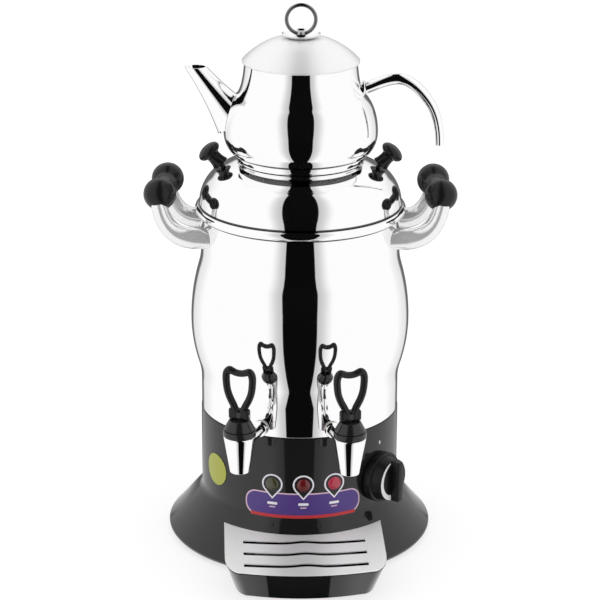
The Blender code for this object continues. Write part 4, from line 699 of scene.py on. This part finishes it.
lens = {
    "left": ("olive_lens", (0.055, 0.05, 0.022, 1), (0, 0, 0, 1), 0),
    "middle": ("dark_red_lens", (0.11, 0.008, 0.01, 1), (0.25, 0.0, 0.0, 1), 0.05),
    "right": ("bright_red_lens", (0.36, 0.018, 0.05, 1), (0.8, 0.03, 0.07, 1), 0.08),
}
black_film = film("black_film", (0.01, 0.01, 0.012, 1))
for number, (name, (slot, colour, light, strength)) in enumerate(lens.items()):
    turn = (number - 1) * LAMP_PITCH
    sticker("lamp_edge_" + name, drop_shape(11.5, 17.6), 0.8, 0.15, turn, pale, 12)
    sticker("lamp_ground_" + name, drop_shape(9.7, 15.2), 0.9, 0.15, turn, black_film, 12)
    glass = Finish("lens_" + name, Base_Color=colour, Roughness=0.08, Coat_Weight=0.5)
    glass.set(Emission_Color=light, Emission_Strength=strength)
    glass.bump(glass.noise(700, 2), 0.00005, 0.4)
    dome = [(0, -14), (6, -14), (6, 0.8), (7.4, 0.8), (7.4, 1.5)] + arc((0, 1.2), 7.0, 2.5, 8, 90, 12)
    dome[-1] = (0, 3.7)
    settle("lens_" + name, spun(dome, 48), glass, "boiler", ["lamp_" + name],
           outward(turn, COLUMN_R, 94.5, at_front))
    sticker("bar_" + name, rounded(5.6, 70.2, 73.2, 0.9), 0.72, 0.1, turn, pale, 8)
    sticker("short_bar_" + name, rounded(3.4, 66.8, 68.2, 0.5), 0.72, 0.1, turn, pink, 6)

# Round film and index mark
# A plain disc on the left of the column, and the pale mark that the knob's grip points at.
olive = film("olive_film", (0.42, 0.45, 0.06, 1), 0.35)
circle = arc((0, 92), 18, 18, 0, 360, 48)[:-1]
patch = sticker("round_film", circle, 0.3, 0.5, math.radians(-58.6), olive, 20)
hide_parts("round_label")
sticker("index_mark", rounded(1.1, 124.6, 128.4, 0.5), 0.1, 0.25, math.radians(50.9), pale, 4)

# Taps
# Each is a chromed cone on a chromed shank that is screwed through the boiler wall.
# A black ring and bonnet close its valve, and a lever like a crown lifts the stem.
at_taps = {side: STANDING @ Matrix.Rotation(turn, 4, "Z") @ Matrix.Translation((0, -166 * MM, 0))
           for side, turn in TAP_TURNS.items()}
silicone = Finish("silicone", Base_Color=(0.75, 0.73, 0.68, 1))
silicone.set(Roughness=silicone.noise(90, 3) * 0.2 + 0.5)
for side, at_tap in at_taps.items():
    inward = at_tap @ Matrix.Translation((0, 0, 157.5 * MM)) @ Matrix.Rotation(-math.pi / 2, 4, "X")
    body = [(10.5, 178), (13.6, 178), (13.6, 171.2)] + arc((16.4, 170.6), 0.6, 0.6, 90, 0, 4) + [(16.9, 169)]
    body += [(10.4, 130.6)] + arc((9.9, 130.5), 0.5, 0.5, 0, -90, 3) + [(9.2, 130), (5.5, 133.5), (5.5, 150)]
    settle(side + "_body", spun(body + [(10.5, 150)], 80), chrome, "boiler", [side + "_tap_body"], at_tap)
    shank = [(0, 12), (6.2, 12), (6.2, 51), (8, 51), (8.5, 51.5), (8.5, 55), (6.2, 55), (6.2, 71.4), (5.6, 72)]
    settle(side + "_shank", spun(shank + [(3.8, 72), (3.8, 14), (0, 14)], 48), chrome, "boiler", None, inward)
    ring = [(13.9, 171.5)] + arc((16.7, 172.3), 0.8, 0.8, -90, 0, 4) + arc((16.7, 177.2), 0.8, 0.8, 0, 90, 4)
    settle(side + "_ring", spun(ring + [(13.9, 178)], 80), moulding, "boiler", [side + "_tap_ring"], at_tap)
    bonnet = [(2.7, 189), (10.4, 189)] + arc((10.4, 188), 1, 1, 90, 25, 4)[1:] + [(16, 179.6)]
    bonnet += arc((15.7, 178.9), 0.6, 0.6, 30, -90, 4) + [(10.2, 178.3), (10.2, 173.3), (8, 173.3), (8, 186.8)]
    settle(side + "_bonnet", spun(bonnet + [(2.7, 186.8)], 80), moulding, "boiler", [side + "_tap_bonnet"], at_tap)
    dress(side + "_tap_stem", moulding)
    dress(side + "_tap_spring", satin)
    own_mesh(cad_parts[side + "_tap_spring"])
    dress(side + "_tap_nut", brass)
    dress(side + "_tap_washer", silicone)
    dress(side + "_tap_seat_cup", silicone)

# Tap levers
# Each is one bakelite moulding, a block that is pinned over the valve's stem and an open crown.
# Its crown rises to two horns, with a dip between them for a fingertip.
LEVER_SIDE = [(3.7, 197), (6.4, 204), (10.8, 212.5), (13.8, 221.5), (15, 233.5), (14.2, 240), (11.5, 243.3),
              (8.5, 242.7), (4.5, 241.3)]
LEVER_SIDE_R = [3.8, 3.8, 3.8, 3.8, 3.9, 4, 4, 3.8, 3.6]


def flowing(points, steps=5):
    """A smooth line through all the points."""
    line = [points[0], *points, points[-1]]
    made = []
    for a, b, c, d in zip(line, line[1:], line[2:], line[3:]):
        for t in (i / steps for i in range(steps)):
            weights = (-t + 2 * t ** 2 - t ** 3, 2 - 5 * t ** 2 + 3 * t ** 3, t + 4 * t ** 2 - 3 * t ** 3,
                       t ** 3 - t ** 2)
            made.append(tuple(sum(w * v for w, v in zip(weights, values)) / 2 for values in zip(a, b, c, d)))
    return made + [tuple(points[-1])]


crown = [(x, z, r) for (x, z), r in zip(LEVER_SIDE, LEVER_SIDE_R)]
crown = flowing([(-x, z, r) for x, z, r in crown] + [(0, 240.8, 3.6)] + crown[::-1])
for side, at_tap in at_taps.items():
    loop = tube([(x, 0, z) for x, z, r in crown], [r for x, z, r in crown], 24)
    bmesh.ops.scale(loop, vec=(1, 1.1, 1), verts=loop.verts)
    settle(side + "_crown", loop, bakelite, side + "_lever", [side + "_tap_lever"], at_tap)
    base = block((-11.5, -4, 189.5), (11.5, 4, 201.6))
    bmesh.ops.bevel(base, geom=base.edges, offset=2.4 * MM, segments=5, profile=0.5, affect="EDGES", material=-1)
    base = settle(side + "_lever_block", base, bakelite, side + "_lever", None, at_tap)
    carve(base, tool(block((-2.7, -6, 180), (2.7, 6, 200.3)), at_tap))
    dress(side + "_tap_pin", satin)

# Supply inlet
# The socket for a supply cord at the back of the column, with its three pins.
dress("power_inlet", moulding)

# Drip tray
# A black moulded tray whose back hugs the skirt, with round corners and a bowed front.
TRAY_TOP = 38


def tray_edge(half, back, reach, corner, bow=9, bulge=17):
    """The tray seen from above, in millimetres, from its back right corner round the front."""
    side = reach - bow - corner
    edge = [(half, -back), (half, -side)] + arc((half - bulge, -side), bulge, corner, 0, -90, 14)[1:]
    inner = half - bulge
    edge += [(inner * share, -(reach - bow * share ** 2)) for share in (0.8, 0.6, 0.4, 0.2)] + [(0, -reach)]
    return edge + [(-x, y) for x, y in edge[-2::-1]]


skirt_space = [(0, -5), (151, -5), (148.2, 9), (113.4, 48), (111.3, 58), (0, 58)]
layers = [(tray_edge(76, 92, 192, 38), 0.3), (tray_edge(77, 90, 196, 38), 1.6)]
layers += [(tray_edge(86, 82, 219, 38), TRAY_TOP)]
hollow = [(tray_edge(73.6, 94, 191.6, 36), 3), (tray_edge(83.4, 84, 216.4, 36), TRAY_TOP + 2)]
tray = settle("tray", stacked(layers), moulding, "drip_tray", ["drip_tray"], at_front)
carve(tray, tool(spun([(r + 0.6, z) if r else (r, z) for r, z in skirt_space], 128), STANDING),
      tool(stacked(hollow), at_front))

# Grille
# A satin steel plate that lies on the tray, pressed with three wavy drain slots.
grille = Finish("grille_steel", Metallic=0.15)
# The plate's colour is painted grey down its middle: a painted reflection of the dark column that rises behind it.
middle = grille.node("ShaderNodeSeparateXYZ", {}, {"Vector": grille.place}).math("ABSOLUTE").ease(0.052, 0.004)
grille.set(Base_Color=grille.mix(middle * 0.5, (0.99, 0.99, 0.99, 1), (0.35, 0.35, 0.35, 1)))
grille.set(Roughness=grille.noise(1, 2, stretch=(30, 700, 30)) * 0.12 + 0.36)


def slot_edge(middle, half=66, width=7.6):
    """A slot that sags between its ends, with a small rise at its middle."""
    shares = [i / 16 for i in range(-16, 17)]
    line = [(half * t, middle - 5.5 * math.cos(math.pi * t / 2) + 4 * math.exp(-(t / 0.22) ** 2)) for t in shares]
    return [(x, y + width / 2) for x, y in line] + [(x, y - width / 2) for x, y in line[::-1]]


plate = settle("grille", stacked([(tray_edge(86, 82, 219, 38), 39.1), (tray_edge(86, 82, 219, 38), 40.3)]), grille,
               "drip_grille", ["drip_grille"], at_front)
carve(plate, tool(spun([(r + 0.6, z) if r else (r, z) for r, z in skirt_space], 128), STANDING),
      *[tool(stacked([(slot_edge(y), 30), (slot_edge(y), 50)]), at_front) for y in (-135.75, -164.25, -192.75)])
